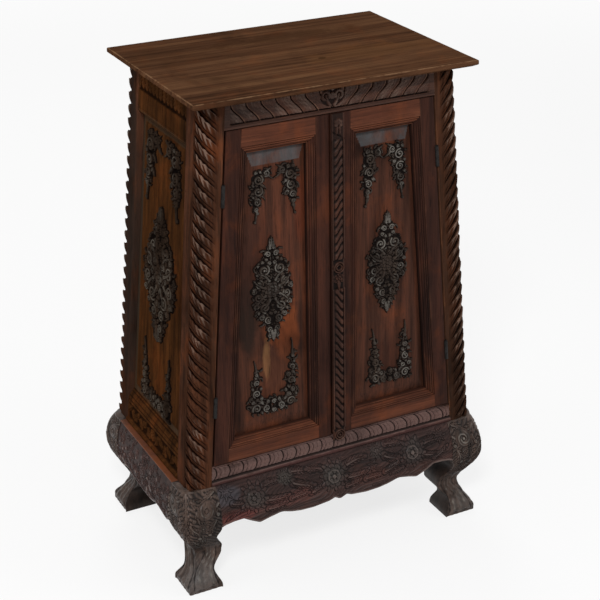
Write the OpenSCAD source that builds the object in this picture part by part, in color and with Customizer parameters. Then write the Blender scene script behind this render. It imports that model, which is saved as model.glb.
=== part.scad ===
// Scripture cabinet: a tapering two-door case with carved corner posts, standing on a cabriole-leg stand.
// Millimetres, origin on the floor under the middle of the cabinet, +Z up, the doors face -Y.

/* [Overall] */
// Height from the floor to the top of the top board
cabinet_h = 900; // [820:5:1100]
// Height of the stand, from the floor to the underside of the case
stand_h = 203; // [190:1:260]

/* [Top board] */
// Width of the top board
top_w = 523; // [500:1:620]
// Depth of the top board
top_d = 366; // [340:1:440]
// Thickness of the top board
top_t = 12; // [8:0.5:24]
// Height of the chamfer under its edge
top_chamfer = 4; // [1:0.5:6]

/* [Case] */
// Width of the case at its foot
case_bottom_w = 576; // [520:2:640]
// Depth of the case at its foot
case_bottom_d = 338; // [310:2:400]
// Width of the case under the top board
case_top_w = 470; // [440:2:496]
// Depth of the case under the top board
case_top_d = 302; // [280:2:330]
// Width of a corner post on the front
post_w = 43; // [38:1:56]
// Width of a corner post on the side
post_side = 52; // [46:1:64]
// Radius of the outer corner of a post over the tips of its carved leaves
post_round = 14; // [8:1:18]
// Height from one carved leaf of a post to the next
leaf_pitch = 23.5; // [16:0.5:40]
// Width of the band of leaves on the front of a post
leaf_front = 33; // [22:1:36]
// Width of the band of leaves on the side of a post
leaf_side = 21; // [16:1:32]
// Depth of the cuts between the leaves at the corner, in from either face
leaf_in = 8.5; // [6.5:0.5:9.5]
// Height that a leaf climbs from the front to the side
leaf_rise = 42; // [16:1:60]
// How far the tip of a leaf stands over the cut above it
leaf_tip = 3; // [1:0.5:5]
// Height of the carved frieze over the doors
frieze_h = 48; // [36:1:80]
// Height of the carved rail under the doors
foot_rail_h = 37; // [28:1:60]
// Height of the top rails on the sides and the back
side_top_rail_h = 79; // [50:1:100]
// Height of the bottom rails on the sides and the back
side_foot_rail_h = 66; // [50:1:90]
// Thickness of the rails on the sides and the back
rail_t = 24; // [20:1:30]
// Radius of the bead along the bottom of the case
bead_r = 4.5; // [3:0.5:6]
// How far the bead stands out of the rails
bead_out = 3; // [1:0.5:4]
// Length of the rail tenons
tenon_l = 18; // [10:1:22]
// Thickness of the rail tenons
tenon_t = 8; // [6:1:10]
// Shoulder above and below each tenon
shoulder = 6; // [3:1:10]

/* [Panels and shelves] */
// Depth of the side panels below the faces of the posts
side_recess = 12; // [8:1:14]
// Thickness of a panel at its edge
panel_t = 5; // [4:0.5:6]
// How far the field of a panel stands up from its edge
field_rise = 4; // [2:0.5:6]
// Depth of the grooves that hold the panels
groove = 6; // [4:0.5:8]
// Width of the bevel round the field of a side panel
side_bevel = 22; // [12:1:30]
// Thickness of the floor and the shelves
shelf_t = 12; // [8:1:18]
// Width of a shelf cleat
cleat_w = 14; // [10:1:20]
// Height of a shelf cleat
cleat_h = 18; // [12:1:26]

/* [Doors] */
// Thickness of the doors
door_t = 24; // [23:0.5:28]
// Where the doors meet, left of the middle
door_split = 6.5; // [0:0.5:12]
// Gap between the two doors
meet_gap = 3; // [2.8:0.1:4]
// Gap over the doors
gap_top = 2; // [1.8:0.1:4]
// Gap under the doors
gap_bottom = 2.5; // [2.4:0.1:4]
// Plain width of the outer stiles, on the hinge side
stile_outer = 27; // [22:1:34]
// Distance from the middle to the plain edge of the meeting stiles
stile_inner = 32.5; // [28:0.5:40]
// Plain height of the top rails
door_rail_top = 30; // [22:1:40]
// Plain height of the bottom rails
door_rail_bottom = 25; // [20:1:40]
// Width of the moulding round each door panel
mould_w = 15; // [8:1:18]
// Depth that the moulding falls
mould_fall = 10; // [6:1:12]
// Depth of the door panels below the door's face
door_recess = 15; // [12:0.5:15]
// Width of the bevel at the sides of a door panel
bevel_side = 11; // [6:1:16]
// Height of the bevel at the top of a door panel
bevel_top = 25; // [10:1:34]
// Height of the bevel at the bottom of a door panel
bevel_bottom = 20; // [10:1:30]
// Width of the strip on the right door that covers the meeting stile
astragal_w = 24; // [16:1:28]
// How far the strip stands out of the door
astragal_t = 8; // [5:0.5:12]
// How far the strip reaches below the door
astragal_drop = 12; // [4:1:16]
// How far the doors overlap their stops
stop_lap = 8; // [5:1:12]
// Thickness of the door stops
stop_t = 10; // [6:1:14]
// Running gap between a closed door and its stop
stop_gap = 0.5; // [0.4:0.1:1]

/* [Hinges] */
// Height of each hinge
hinge_h = 37; // [28:1:50]
// Distance from the top of a door to the middle of its upper hinge
hinge_down = 107; // [60:1:160]
// Distance from the bottom of a door to the middle of its lower hinge
hinge_up = 112; // [60:1:160]
// Radius of the hinge barrels
barrel_r = 3.5; // [3:0.1:4]
// Radius of the hinge pins
pin_r = 1.5; // [1.2:0.1:1.8]
// Thickness of the hinge leaves
leaf_t = 1.5; // [1.2:0.1:1.7]
// Depth of the hinge leaves
leaf_d = 18; // [12:1:20]

/* [Carved ornaments] */
// Thickness of the carved ornaments
carving_t = 6; // [3:0.5:8]
// Width of a door medallion
medal_w = 76; // [50:1:80]
// Height of a door medallion
medal_h = 195; // [120:1:210]
// Height of the middle of the medallions above the middle of the door panels
medal_up = 7; // [-20:1:30]
// Width of a side medallion
side_medal_w = 128; // [80:1:134]
// Height of a side medallion
side_medal_h = 245; // [160:1:250]
// Length of a corner spray on the doors
spray_l = 108; // [70:1:120]
// Width of a corner spray on the doors
spray_w = 38; // [24:1:42]
// Distance from the middle of a door panel to its upper sprays
spray_dx_high = 24; // [18:1:30]
// Distance from the middle of a door panel to its lower sprays
spray_dx_low = 30; // [20:1:36]
// Length of a corner spray on the sides
side_spray_l = 115; // [70:1:130]
// Width of a corner spray on the sides
side_spray_w = 60; // [30:1:64]
// Distance from the middle of a side to its sprays
side_spray_dx = 42; // [30:1:48]

/* [Stand] */
// Width over the feet
stand_w = 604; // [590:2:660]
// Depth over the feet
stand_d = 372; // [360:2:430]
// Side of a square foot
foot_s = 66; // [56:1:76]
// Height of the upright edge of a foot
foot_rise = 10; // [4:1:16]
// Height of the ankle
ankle_z = 62; // [50:1:74]
// How far the ankle draws in from the edge of the foot
ankle_in = 24; // [12:1:30]
// How far the knee swells past the edge of the foot
knee_out = 9; // [2:1:14]
// Radius of a leg's outer corner under the ledge
leg_round = 28; // [16:1:32]
// Depth of the knee's fullest point below the top of the stand
knee_drop = 55; // [45:1:64]
// Ledge of the stand beside the case
ledge_side = 12; // [4:1:14]
// Ledge of the stand in front of the case
ledge_front = 0; // [0:1:12]
// Thickness of the aprons
apron_t = 20; // [16:1:28]
// Depth of the aprons at their middle, from the top of the stand
apron_h = 87; // [70:1:96]
// Length of the apron tenons
apron_tenon = 16; // [8:1:20]
// Radius of the dowels that hold the case on the stand
dowel_r = 5; // [4:0.5:6]
// Length of those dowels
dowel_l = 32; // [20:1:44]

/* [Hidden] */

// Colours of the woods and the ironwork
top_wood = "#5c3e26";
post_wood = "#5f3223";
rail_wood = "#6e3c28";
stile_wood = "#3c231e";
panel_wood = "#552819";
inner_wood = "#6b4a2c";
dark_wood = "#1e1714";
apron_wood = "#4b3737";
iron = "#2c322c";

// Clearances: round a tenon or tongue, a hinge pin, a hinge barrel in its notch, between thin parts
// and round a shelf
joint_fit = 0.2;
pin_fit = 0.05;
barrel_gap = 0.5;
skin_gap = 0.1;
shelf_gap = 0.5;

// The case between the stand and the top board, and its lean per millimetre of height
board_z = cabinet_h - top_t;
case_h = board_z - stand_h;
lean_x = (case_bottom_w - case_top_w) / 2 / case_h;
lean_y = (case_bottom_d - case_top_d) / 2 / case_h;
tilt_x = atan(lean_x);
tilt_y = atan(lean_y);

// Front members, doors and stops
front_t = door_t + stop_gap;
frieze_z = board_z - frieze_h;
foot_z = stand_h + foot_rail_h;
door_z0 = foot_z + gap_bottom;
door_z1 = frieze_z - gap_top;
hinge_gap = 2 * leaf_t + 4 * skin_gap;
flat_z0 = door_z0 + door_rail_bottom;
flat_z1 = door_z1 - door_rail_top;
open_z0 = flat_z0 + mould_w;
open_z1 = flat_z1 - mould_w;
hinge_z_low = door_z0 + hinge_up;
hinge_z_high = door_z1 - hinge_down;
medal_z = (open_z0 + open_z1) / 2 + medal_up;

// Sides and back
side_z0 = stand_h + side_foot_rail_h;
side_z1 = board_z - side_top_rail_h;
tenon_near = 8;

// Floor, shelves and cleats
floor_z = foot_z;
inner_front = front_t + stop_t + shelf_gap;
shelf_z_low = floor_z + (board_z - floor_z) / 3;
shelf_z_high = floor_z + (board_z - floor_z) * 2 / 3;

// The leg's outline: where the inner faces stand, and the apron's place between the legs
foot_x = stand_w / 2;
foot_y = stand_d / 2;
foot_dx = foot_x - foot_y;
knee_z = stand_h - knee_drop;
knee_rise = knee_z - ankle_z;
knee_swell = knee_out + ankle_in;
tenon_low = 24;
tenon_high = 16;
leg_top_x = case_bottom_w / 2 + ledge_side;
leg_top_y = case_bottom_d / 2 + ledge_front;
leg_face = foot_x - foot_s + 2;
apron_z = stand_h - apron_h;
leg_steps = 28;
corner_steps = 5;

// Half width and half depth of the case at a height
function case_x(z) = case_bottom_w / 2 - lean_x * (z - stand_h);
function case_y(z) = case_bottom_d / 2 - lean_y * (z - stand_h);

// Points on the leaning front and left side, a depth below their faces
function front_pt(x, z, depth) = [x, depth - case_y(z), z];
function side_pt(y, z, depth) = [depth - case_x(z), y, z];

// A smooth curve through the pairs [height, value] of a list, level at both ends and where it turns
function rate(keys, i, j) = (keys[j][1] - keys[i][1]) / (keys[j][0] - keys[i][0]);
function slope(keys, i) = i < 1 || i > len(keys) - 2 ? 0
    : rate(keys, i - 1, i) * rate(keys, i, i + 1) <= 0 ? 0 : rate(keys, i - 1, i + 1);
function curve(z, keys, i = 0) = i < len(keys) - 2 && z > keys[i + 1][0] ? curve(z, keys, i + 1)
    : let (h = keys[i + 1][0] - keys[i][0], t = (z - keys[i][0]) / h, u = 1 - t)
        keys[i][1] * u * u * (1 + 2 * t) + keys[i + 1][1] * t * t * (3 - 2 * t)
            + h * t * u * (slope(keys, i) * u - slope(keys, i + 1) * t);

// Plan rings, counter-clockwise: a front member, a left side member and the rounded front left post
function cross_ring(z, end, near, far) = let (x = case_x(z) - end, y = -case_y(z))
    [[-x, y + near], [x, y + near], [x, y + far], [-x, y + far]];
function side_ring(z, end, near, far) = let (x = -case_x(z), y = case_y(z) - end)
    [[x + near, -y], [x + far, -y], [x + far, y], [x + near, y]];
function post_ring(z) = let (x = -case_x(z), y = -case_y(z), r = post_round)
    concat([[x + post_w, y], [x + post_w, y + post_side], [x, y + post_side]],
        [for (i = [0:6]) [x + r - r * cos(15 * i), y + r - r * sin(15 * i)]]);

// A solid through rings of points, each ring clockwise as seen from outside the first one
module skin(rings) {
    n = len(rings[0]);
    last = (len(rings) - 1) * n;
    polyhedron(
        points = [for (ring = rings, p = ring) p],
        faces = concat([[for (i = [0:n - 1]) i]], [[for (i = [n - 1:-1:0]) last + i]],
            [for (a = [0:n:last - 1], i = [0:n - 1]) [a + i, a + n + i, a + n + (i + 1) % n]],
            [for (a = [0:n:last - 1], i = [0:n - 1]) [a + i, a + n + (i + 1) % n, a + (i + 1) % n]]),
        convexity = 6);
}

// A solid whose plan at each height follows a ring function
module leaning(z0, z1, ring) {
    skin([for (z = [z0, z1]) [for (p = ring(z)) [p[0], p[1], z]]]);
}

module cross_bar(z0, z1, end, near, far) {
    leaning(z0, z1, function(z) cross_ring(z, end, near, far));
}

module side_bar(z0, z1, end, near, far) {
    leaning(z0, z1, function(z) side_ring(z, end, near, far));
}

// Tenons at both ends of a front or a side rail, larger all round by c where they are cut out of the posts
module cross_tenons(z0, z1, c = 0) {
    cross_bar(z0 + shoulder - c, z1 - shoulder + c, post_w - tenon_l - c,
        tenon_near - c, tenon_near + tenon_t + c);
}

module side_tenons(z0, z1, c = 0) {
    side_bar(z0 + shoulder - c, z1 - shoulder + c, post_side - tenon_l - c,
        tenon_near - c, tenon_near + tenon_t + c);
}

// Tongues of the side panels and, drawn at the front, of the back panel, larger by c where they are grooves
module side_tongue(c = 0) {
    side_bar(side_z0 - groove - c, side_z1 + groove + c, post_side - groove - c,
        side_recess - c, side_recess + panel_t + c);
}

module cross_tongue(c = 0) {
    cross_bar(side_z0 - groove - c, side_z1 + groove + c, post_w - groove - c,
        side_recess - c, side_recess + panel_t + c);
}

// Where a child drawn in its own XY plane lies on the leaning front or left side, +Z facing outwards
module on_front(x, z, depth) {
    translate(front_pt(x, z, depth)) rotate([90 - tilt_y, 0, 0]) children();
}

module on_side(y, z, depth) {
    translate(side_pt(y, z, depth)) rotate([90 - tilt_x, 0, -90]) children();
}

// Section of the top board, chamfered under its edge
module top_section(half) {
    inside = half - 2 * top_chamfer;
    polygon([[-inside, board_z], [inside, board_z], [half, board_z + top_chamfer], [half, cabinet_h],
        [-half, cabinet_h], [-half, board_z + top_chamfer]]);
}

module top_board() {
    color(top_wood) intersection() {
        rotate([90, 0, 0]) linear_extrude(top_d, center = true) top_section(top_w / 2);
        rotate([90, 0, 90]) linear_extrude(top_w, center = true) top_section(top_d / 2);
    }
}

// Hinge line of the left door, in the gap between post and door on the front face
function hinge_pt(z) = [post_w + hinge_gap / 2 - case_x(z), -case_y(z), z];

// A child along the hinge line, its middle at height z
module on_hinge(z) {
    translate(hinge_pt(z))
        rotate([-asin(lean_y / norm([lean_x, lean_y, 1])), atan(lean_x), 0]) children();
}

// Room for both hinge barrels on the left
module barrel_notches() {
    for (z = [hinge_z_low, hinge_z_high])
        on_hinge(z)
            cylinder(h = hinge_h + 4 * barrel_gap, r = barrel_r + barrel_gap, center = true, $fn = 48);
}

// Holes for the dowels under the left posts, and the dowels themselves
module dowel_at(r, l) {
    for (s = [-1, 1])
        translate([-(case_x(stand_h) - post_w / 2), s * (case_y(stand_h) - post_side / 2), stand_h])
            cylinder(h = l, r = r, center = true, $fn = 48);
}

// Cuts between the leaves that climb round the left post's corner. A cut's floor runs along three points,
// given from the corner along the front and along the side, the end ones outside the faces
leaf_mid = [leaf_in, leaf_in];
leaf_path = [leaf_mid + 1.2 * ([leaf_front, 0] - leaf_mid), leaf_mid,
    leaf_mid + 1.2 * ([0, leaf_side] - leaf_mid)];
leaf_span = norm([leaf_front, 0] - leaf_mid) + norm([0, leaf_side] - leaf_mid);
leaf_climb = leaf_rise / leaf_span;
leaf_low = leaf_climb * norm(leaf_path[0] - leaf_mid);
leaf_high = leaf_climb * norm(leaf_path[2] - leaf_mid);

// The cut opens outwards: out is its reach, deep the part of it that lies in the wood at the corner
module leaf_cut(z) {
    out = leaf_in + 2;
    deep = leaf_in - post_round * (1 - cos(45));
    up = leaf_tip * out / deep;
    over = (leaf_pitch + 0.5) * out / deep;
    rings = [for (i = [0:2]) let (h = z + [-leaf_low, 0, leaf_high][i], p = leaf_path[i],
            floor_pt = [p[0] - case_x(h), p[1] - case_y(h), h])
        [floor_pt, floor_pt + [up * lean_x - out, up * lean_y - out, up],
            floor_pt + [over * lean_x - out, over * lean_y - out, over]]];
    polyhedron(points = [for (ring = rings, p = ring) p],
        faces = concat([[0, 1, 2], [6, 8, 7]],
            [for (a = [0, 3], i = [0:2]) let (j = (i + 1) % 3) [a + i, a + 3 + i, a + 3 + j, a + j]]),
        convexity = 4);
}

module leaf_cuts() {
    for (z = [stand_h - leaf_high:leaf_pitch:board_z + leaf_low])
        leaf_cut(z);
}

// Left corner posts: the front one, and the back one as its mirror with a plain back
module front_left_post() {
    difference() {
        leaning(stand_h, board_z, function(z) post_ring(z));
        cross_tenons(frieze_z, board_z, joint_fit);
        cross_tenons(stand_h, foot_z, joint_fit);
        side_tenons(side_z1, board_z, joint_fit);
        side_tenons(stand_h, side_z0, joint_fit);
        side_tongue(joint_fit);
        barrel_notches();
        dowel_at(dowel_r + joint_fit, dowel_l + 2 * joint_fit);
        leaf_cuts();
    }
}

module back_left_post() {
    mirror([0, 1, 0]) difference() {
        leaning(stand_h, board_z, function(z) post_ring(z));
        cross_tenons(side_z1, board_z, joint_fit);
        cross_tenons(stand_h, side_z0, joint_fit);
        cross_tongue(joint_fit);
        side_tenons(side_z1, board_z, joint_fit);
        side_tenons(stand_h, side_z0, joint_fit);
        side_tongue(joint_fit);
        dowel_at(dowel_r + joint_fit, dowel_l + 2 * joint_fit);
        leaf_cuts();
    }
}

module post_front_left() { color(post_wood) front_left_post(); }
module post_front_right() { color(post_wood) mirror([1, 0, 0]) front_left_post(); }
module post_back_left() { color(post_wood) back_left_post(); }
module post_back_right() { color(post_wood) mirror([1, 0, 0]) back_left_post(); }

// Frieze over the doors and carved rail under them
module frieze_front() {
    color(rail_wood) union() {
        cross_bar(frieze_z, board_z, post_w, 0, front_t);
        cross_tenons(frieze_z, board_z);
    }
}

// Bead along the foot of a front rail, between the posts
module front_bead() {
    half = case_x(stand_h + 2 * bead_r) - post_w;
    translate([0, bead_r - bead_out - case_y(stand_h + bead_r), stand_h + bead_r])
        rotate([0, 90, 0]) cylinder(h = 2 * half, r = bead_r, center = true, $fn = 48);
}

// Bead along the foot of the left rail
module side_bead() {
    half = case_y(stand_h + 2 * bead_r) - post_side;
    translate([bead_r - bead_out - case_x(stand_h + bead_r), 0, stand_h + bead_r])
        rotate([90, 0, 0]) cylinder(h = 2 * half, r = bead_r, center = true, $fn = 48);
}

module foot_rail_front() {
    color(rail_wood) union() {
        cross_bar(stand_h, foot_z, post_w, 0, front_t);
        cross_tenons(stand_h, foot_z);
        front_bead();
    }
}

module top_rail_back() {
    color(inner_wood) mirror([0, 1, 0]) difference() {
        union() {
            cross_bar(side_z1, board_z, post_w, 0, rail_t);
            cross_tenons(side_z1, board_z);
        }
        cross_tongue(joint_fit);
    }
}

module foot_rail_back() {
    color(inner_wood) mirror([0, 1, 0]) difference() {
        union() {
            cross_bar(stand_h, side_z0, post_w, 0, rail_t);
            cross_tenons(stand_h, side_z0);
            front_bead();
        }
        cross_tongue(joint_fit);
    }
}

// Side rails, drawn on the left
module side_top_rail() {
    difference() {
        union() {
            side_bar(side_z1, board_z, post_side, 0, rail_t);
            side_tenons(side_z1, board_z);
        }
        side_tongue(joint_fit);
    }
}

module side_foot_rail() {
    difference() {
        union() {
            side_bar(stand_h, side_z0, post_side, 0, rail_t);
            side_tenons(stand_h, side_z0);
            side_bead();
        }
        side_tongue(joint_fit);
    }
}

module top_rail_left() { color(rail_wood) side_top_rail(); }
module top_rail_right() { color(rail_wood) mirror([1, 0, 0]) side_top_rail(); }
module foot_rail_left() { color(rail_wood) side_foot_rail(); }
module foot_rail_right() { color(rail_wood) mirror([1, 0, 0]) side_foot_rail(); }

// Side panel: its field, the foot of its bevel, and the front and back of the edge in the grooves
function side_rect(z0, z1, inset, depth) = [for (p = [[1, z1], [-1, z1], [-1, z0], [1, z0]])
    side_pt(p[0] * (case_y(p[1]) - post_side - inset), p[1], depth)];

module raised_side_panel() {
    skin([
        side_rect(side_z0 + side_bevel, side_z1 - side_bevel, side_bevel, side_recess - field_rise),
        side_rect(side_z0, side_z1, 0, side_recess),
        side_rect(side_z0 - groove, side_z1 + groove, -groove, side_recess),
        side_rect(side_z0 - groove, side_z1 + groove, -groove, side_recess + panel_t)]);
}

module side_panel_left() { color(panel_wood) raised_side_panel(); }
module side_panel_right() { color(panel_wood) mirror([1, 0, 0]) raised_side_panel(); }
module back_panel() { color(inner_wood) mirror([0, 1, 0]) cross_tongue(); }

// A shelf between the posts, its top at height z, from the door stops to a depth in front of the back
module shelf(z, far) {
    leaning(z - shelf_t, z, function(h) let (x = case_x(h) - post_w - shelf_gap, y = case_y(h))
        [[-x, inner_front - y], [x, inner_front - y], [x, y - far - shelf_gap], [-x, y - far - shelf_gap]]);
}

module floor_board() { color(inner_wood) shelf(floor_z, rail_t); }
module shelf_lower() { color(inner_wood) shelf(shelf_z_low, side_recess + panel_t); }
module shelf_upper() { color(inner_wood) shelf(shelf_z_high, side_recess + panel_t); }

// Cleats on the inner faces of the posts, under the floor and each shelf
module shelf_cleats() {
    color(inner_wood)
        for (m = [0, 1], z = [floor_z, shelf_z_low, shelf_z_high])
            mirror([m, 0, 0])
                leaning(z - shelf_t - cleat_h, z - shelf_t, function(h)
                    let (x = post_w - case_x(h), y = case_y(h))
                    [[x, inner_front - y], [x + cleat_w, inner_front - y],
                     [x + cleat_w, y - post_side / 2], [x, y - post_side / 2]]);
}

// Stops behind the top and bottom edges of the doors
module door_stop_top() {
    color(inner_wood)
        cross_bar(door_z1 - stop_lap, door_z1 + stop_lap + gap_top, post_w, front_t, front_t + stop_t);
}

module door_stop_bottom() {
    color(inner_wood)
        cross_bar(door_z0 - stop_lap - gap_bottom, door_z0 + stop_lap, post_w, front_t, front_t + stop_t);
}

// Doors are drawn on the left. Edge of the door on the hinge side, and of its parts at an inset from it
function door_x(z, inset) = post_w + hinge_gap + inset - case_x(z);

// A point of the door, the inset measured from the hinge side, and one measured from the middle
function hinge_side(inset, z, depth) = front_pt(door_x(z, inset), z, depth);
function meet_side(x, z, depth) = front_pt(-x, z, depth);

// Corners of the opening left by an inset, a distance from the middle and two heights, clockwise
function door_rect(inset, inner, z0, z1, depth) = [
    hinge_side(inset, z1, depth), meet_side(inner, z1, depth),
    meet_side(inner, z0, depth), hinge_side(inset, z0, depth)];

// A frame member of the door with its moulding: face is its plain outline, clockwise, that ends with the
// edge beside the moulding, lip the moulding's other edge; the same points at the back close it
module member(face, lip) {
    n = len(face);
    front = concat(face, lip);
    back = [for (p = front) [p[0], p[1] + door_t, p[2]]];
    flush = [for (i = [0:n + 1]) i < n ? back[i] : back[i] - [0, mould_fall, 0]];
    polyhedron(points = concat(front, flush),
        faces = concat([[for (i = [0:n - 1]) i]], [[n - 1, n, n + 1, 0]],
            [[for (i = [n + 1:-1:0]) n + 2 + i]],
            [for (i = [0:n + 1]) let (j = (i + 1) % (n + 2)) [i, n + 2 + i, n + 2 + j, j]]),
        convexity = 4);
}

// Tongue of the door panel, larger all round by c where it is a groove
module door_tongue(c = 0) {
    inset = lip_out - groove - c;
    inner = lip_in - groove - c;
    z0 = open_z0 - groove - c;
    z1 = open_z1 + groove + c;
    skin([door_rect(inset, inner, z0, z1, door_recess - c),
        door_rect(inset, inner, z0, z1, door_recess + panel_t + c)]);
}

// Inner edge of the moulding, in the plane it falls to
lip_out = stile_outer + mould_w;
lip_in = stile_inner + mould_w;

module door_stile_outer() {
    difference() {
        member([hinge_side(stile_outer, flat_z0, 0), hinge_side(stile_outer, door_z0, 0),
                hinge_side(0, door_z0, 0), hinge_side(0, door_z1, 0),
                hinge_side(stile_outer, door_z1, 0), hinge_side(stile_outer, flat_z1, 0)],
            [hinge_side(lip_out, open_z1, mould_fall), hinge_side(lip_out, open_z0, mould_fall)]);
        door_tongue(joint_fit);
        barrel_notches();
    }
}

// The meeting stile ends at x = end, seen on the left
module door_stile_inner(end) {
    difference() {
        member([meet_side(stile_inner, flat_z1, 0), meet_side(stile_inner, door_z1, 0),
                meet_side(-end, door_z1, 0), meet_side(-end, door_z0, 0),
                meet_side(stile_inner, door_z0, 0), meet_side(stile_inner, flat_z0, 0)],
            [meet_side(lip_in, open_z0, mould_fall), meet_side(lip_in, open_z1, mould_fall)]);
        door_tongue(joint_fit);
    }
}

module rail_top() {
    difference() {
        member([hinge_side(stile_outer, flat_z1, 0), hinge_side(stile_outer, door_z1, 0),
                meet_side(stile_inner, door_z1, 0), meet_side(stile_inner, flat_z1, 0)],
            [meet_side(lip_in, open_z1, mould_fall), hinge_side(lip_out, open_z1, mould_fall)]);
        door_tongue(joint_fit);
    }
}

module rail_bottom() {
    difference() {
        member([meet_side(stile_inner, flat_z0, 0), meet_side(stile_inner, door_z0, 0),
                hinge_side(stile_outer, door_z0, 0), hinge_side(stile_outer, flat_z0, 0)],
            [hinge_side(lip_out, open_z0, mould_fall), meet_side(lip_in, open_z0, mould_fall)]);
        door_tongue(joint_fit);
    }
}

module door_panel() {
    edge = function(depth)
        door_rect(lip_out - groove, lip_in - groove, open_z0 - groove, open_z1 + groove, depth);
    skin([
        door_rect(lip_out + bevel_side, lip_in + bevel_side, open_z0 + bevel_bottom, open_z1 - bevel_top,
            door_recess - field_rise),
        door_rect(lip_out, lip_in, open_z0, open_z1, door_recess),
        edge(door_recess), edge(door_recess + panel_t)]);
}

// Carved ornaments as flat plates with their outlines: a pointed medallion and a hooked spray
module medallion(w, h) {
    linear_extrude(carving_t)
        polygon([for (a = [0:10:350])
            [w / 2 * sign(cos(a)) * pow(abs(cos(a)), 1.3), h / 2 * sign(sin(a)) * pow(abs(sin(a)), 0.9)]]);
}

// The spray hooks towards +X at its head and tapers down to its tail
module spray(w, l) {
    n = 12;
    mid = function(t) [w * 0.5 * pow(1 - t, 3) - w * 0.2, -l * t];
    half = function(t) w * 0.3 * sqrt(sin(180 * (0.06 + 0.92 * t)));
    linear_extrude(carving_t)
        polygon(concat([for (i = [0:n]) mid(i / n) + [half(i / n), 0]],
            [for (i = [n:-1:0]) mid(i / n) - [half(i / n), 0]]));
}

module door_carvings() {
    depth = door_recess - field_rise - skin_gap;
    left_x = function(z) door_x(z, lip_out + bevel_side);
    right_x = -(lip_in + bevel_side);
    mid_x = function(z) (left_x(z) + right_x) / 2;
    high_z = open_z1 - bevel_top + 1;
    low_z = open_z0 + bevel_bottom + 4;
    on_front(mid_x(medal_z), medal_z, depth) medallion(medal_w, medal_h);
    for (s = [-1, 1]) {
        on_front(mid_x(high_z) + s * spray_dx_high, high_z, depth)
            mirror([s > 0 ? 1 : 0, 0]) spray(spray_w, spray_l);
        on_front(mid_x(low_z) + s * spray_dx_low, low_z, depth)
            mirror([s > 0 ? 1 : 0, 0]) mirror([0, 1]) spray(spray_w, spray_l);
    }
}

// Side ornaments on the left panel
module side_carvings() {
    depth = side_recess - field_rise - skin_gap;
    high_z = side_z1 - side_bevel;
    low_z = side_z0 + side_bevel + 6;
    on_side(0, medal_z, depth) medallion(side_medal_w, side_medal_h);
    for (s = [-1, 1]) {
        on_side(s * side_spray_dx, high_z, depth)
            mirror([s < 0 ? 1 : 0, 0]) spray(side_spray_w, side_spray_l);
        on_side(s * side_spray_dx, low_z, depth)
            mirror([s < 0 ? 1 : 0, 0]) mirror([0, 1]) spray(side_spray_w, side_spray_l);
    }
}

module side_carvings_left() { color(dark_wood) side_carvings(); }
module side_carvings_right() { color(dark_wood) mirror([1, 0, 0]) side_carvings(); }

// The left door's meeting stile stops short of the split, the right door's reaches past the middle
left_end = -door_split - meet_gap / 2;
right_end = door_split - meet_gap / 2;

module door_left_stile_outer() { color(stile_wood) door_stile_outer(); }
module door_left_stile_inner() { color(stile_wood) door_stile_inner(left_end); }
module door_left_rail_top() { color(rail_wood) rail_top(); }
module door_left_rail_bottom() { color(rail_wood) rail_bottom(); }
module door_left_panel() { color(panel_wood) door_panel(); }
module door_left_carvings() { color(dark_wood) door_carvings(); }
module door_right_stile_outer() { color(stile_wood) mirror([1, 0, 0]) door_stile_outer(); }
module door_right_stile_inner() { color(stile_wood) mirror([1, 0, 0]) door_stile_inner(right_end); }
module door_right_rail_top() { color(rail_wood) mirror([1, 0, 0]) rail_top(); }
module door_right_rail_bottom() { color(rail_wood) mirror([1, 0, 0]) rail_bottom(); }
module door_right_panel() { color(panel_wood) mirror([1, 0, 0]) door_panel(); }
module door_right_carvings() { color(dark_wood) mirror([1, 0, 0]) door_carvings(); }

// Carved strip on the right door's meeting stile; below the door it stands foot_gap clear of the foot rail
foot_gap = 1;

module door_right_astragal() {
    x0 = -right_end;
    x1 = x0 + astragal_w;
    edge = astragal_w / 6;
    ring = function(z) let (y = -case_y(z)) [[x0, y], [x0, y - astragal_t / 2], [x0 + edge, y - astragal_t],
        [x1 - edge, y - astragal_t], [x1, y - astragal_t / 2], [x1, y]];
    tail = function(z) let (y = -case_y(z))
        [[x0 - 1, y - foot_gap], [x1 + 1, y - foot_gap], [x1 + 1, y + 1], [x0 - 1, y + 1]];
    color(post_wood) difference() {
        leaning(door_z0 - astragal_drop, door_z1, ring);
        leaning(door_z0 - astragal_drop - 1, door_z0, tail);
    }
}

// Hinges on the left: the frame leaves carry the end knuckles, the door leaves the middle ones
knuckle_l = hinge_h / 3;

module knuckle(offset, l) {
    translate([0, 0, offset]) cylinder(h = l, r = barrel_r, center = true, $fn = 48);
}

module pin_bore() {
    cylinder(h = hinge_h + 4, r = pin_r + pin_fit, center = true, $fn = 48);
}

// A leaf beside the gap's middle, drawn in the frame of the hinge line: from is its near face from the post
module leaf(from) {
    translate([from - hinge_gap / 2, 0, -hinge_h / 2]) cube([leaf_t, leaf_d, hinge_h]);
}

module hinge_frame_leaves() {
    for (z = [hinge_z_low, hinge_z_high])
        on_hinge(z) difference() {
            union() {
                leaf(skin_gap);
                for (s = [-1, 1])
                    knuckle(s * knuckle_l, knuckle_l - 2 * skin_gap);
            }
            cylinder(h = knuckle_l + 2 * skin_gap, r = barrel_r + barrel_gap, center = true, $fn = 48);
            pin_bore();
        }
}

module hinge_door_leaves() {
    for (z = [hinge_z_low, hinge_z_high])
        on_hinge(z) difference() {
            union() {
                leaf(leaf_t + 3 * skin_gap);
                knuckle(0, knuckle_l - 2 * skin_gap);
            }
            for (s = [-1, 1])
                translate([0, 0, s * (knuckle_l + barrel_gap)])
                    cylinder(h = knuckle_l + 2 * barrel_gap + 2 * skin_gap, r = barrel_r + barrel_gap,
                        center = true, $fn = 48);
            pin_bore();
        }
}

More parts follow.
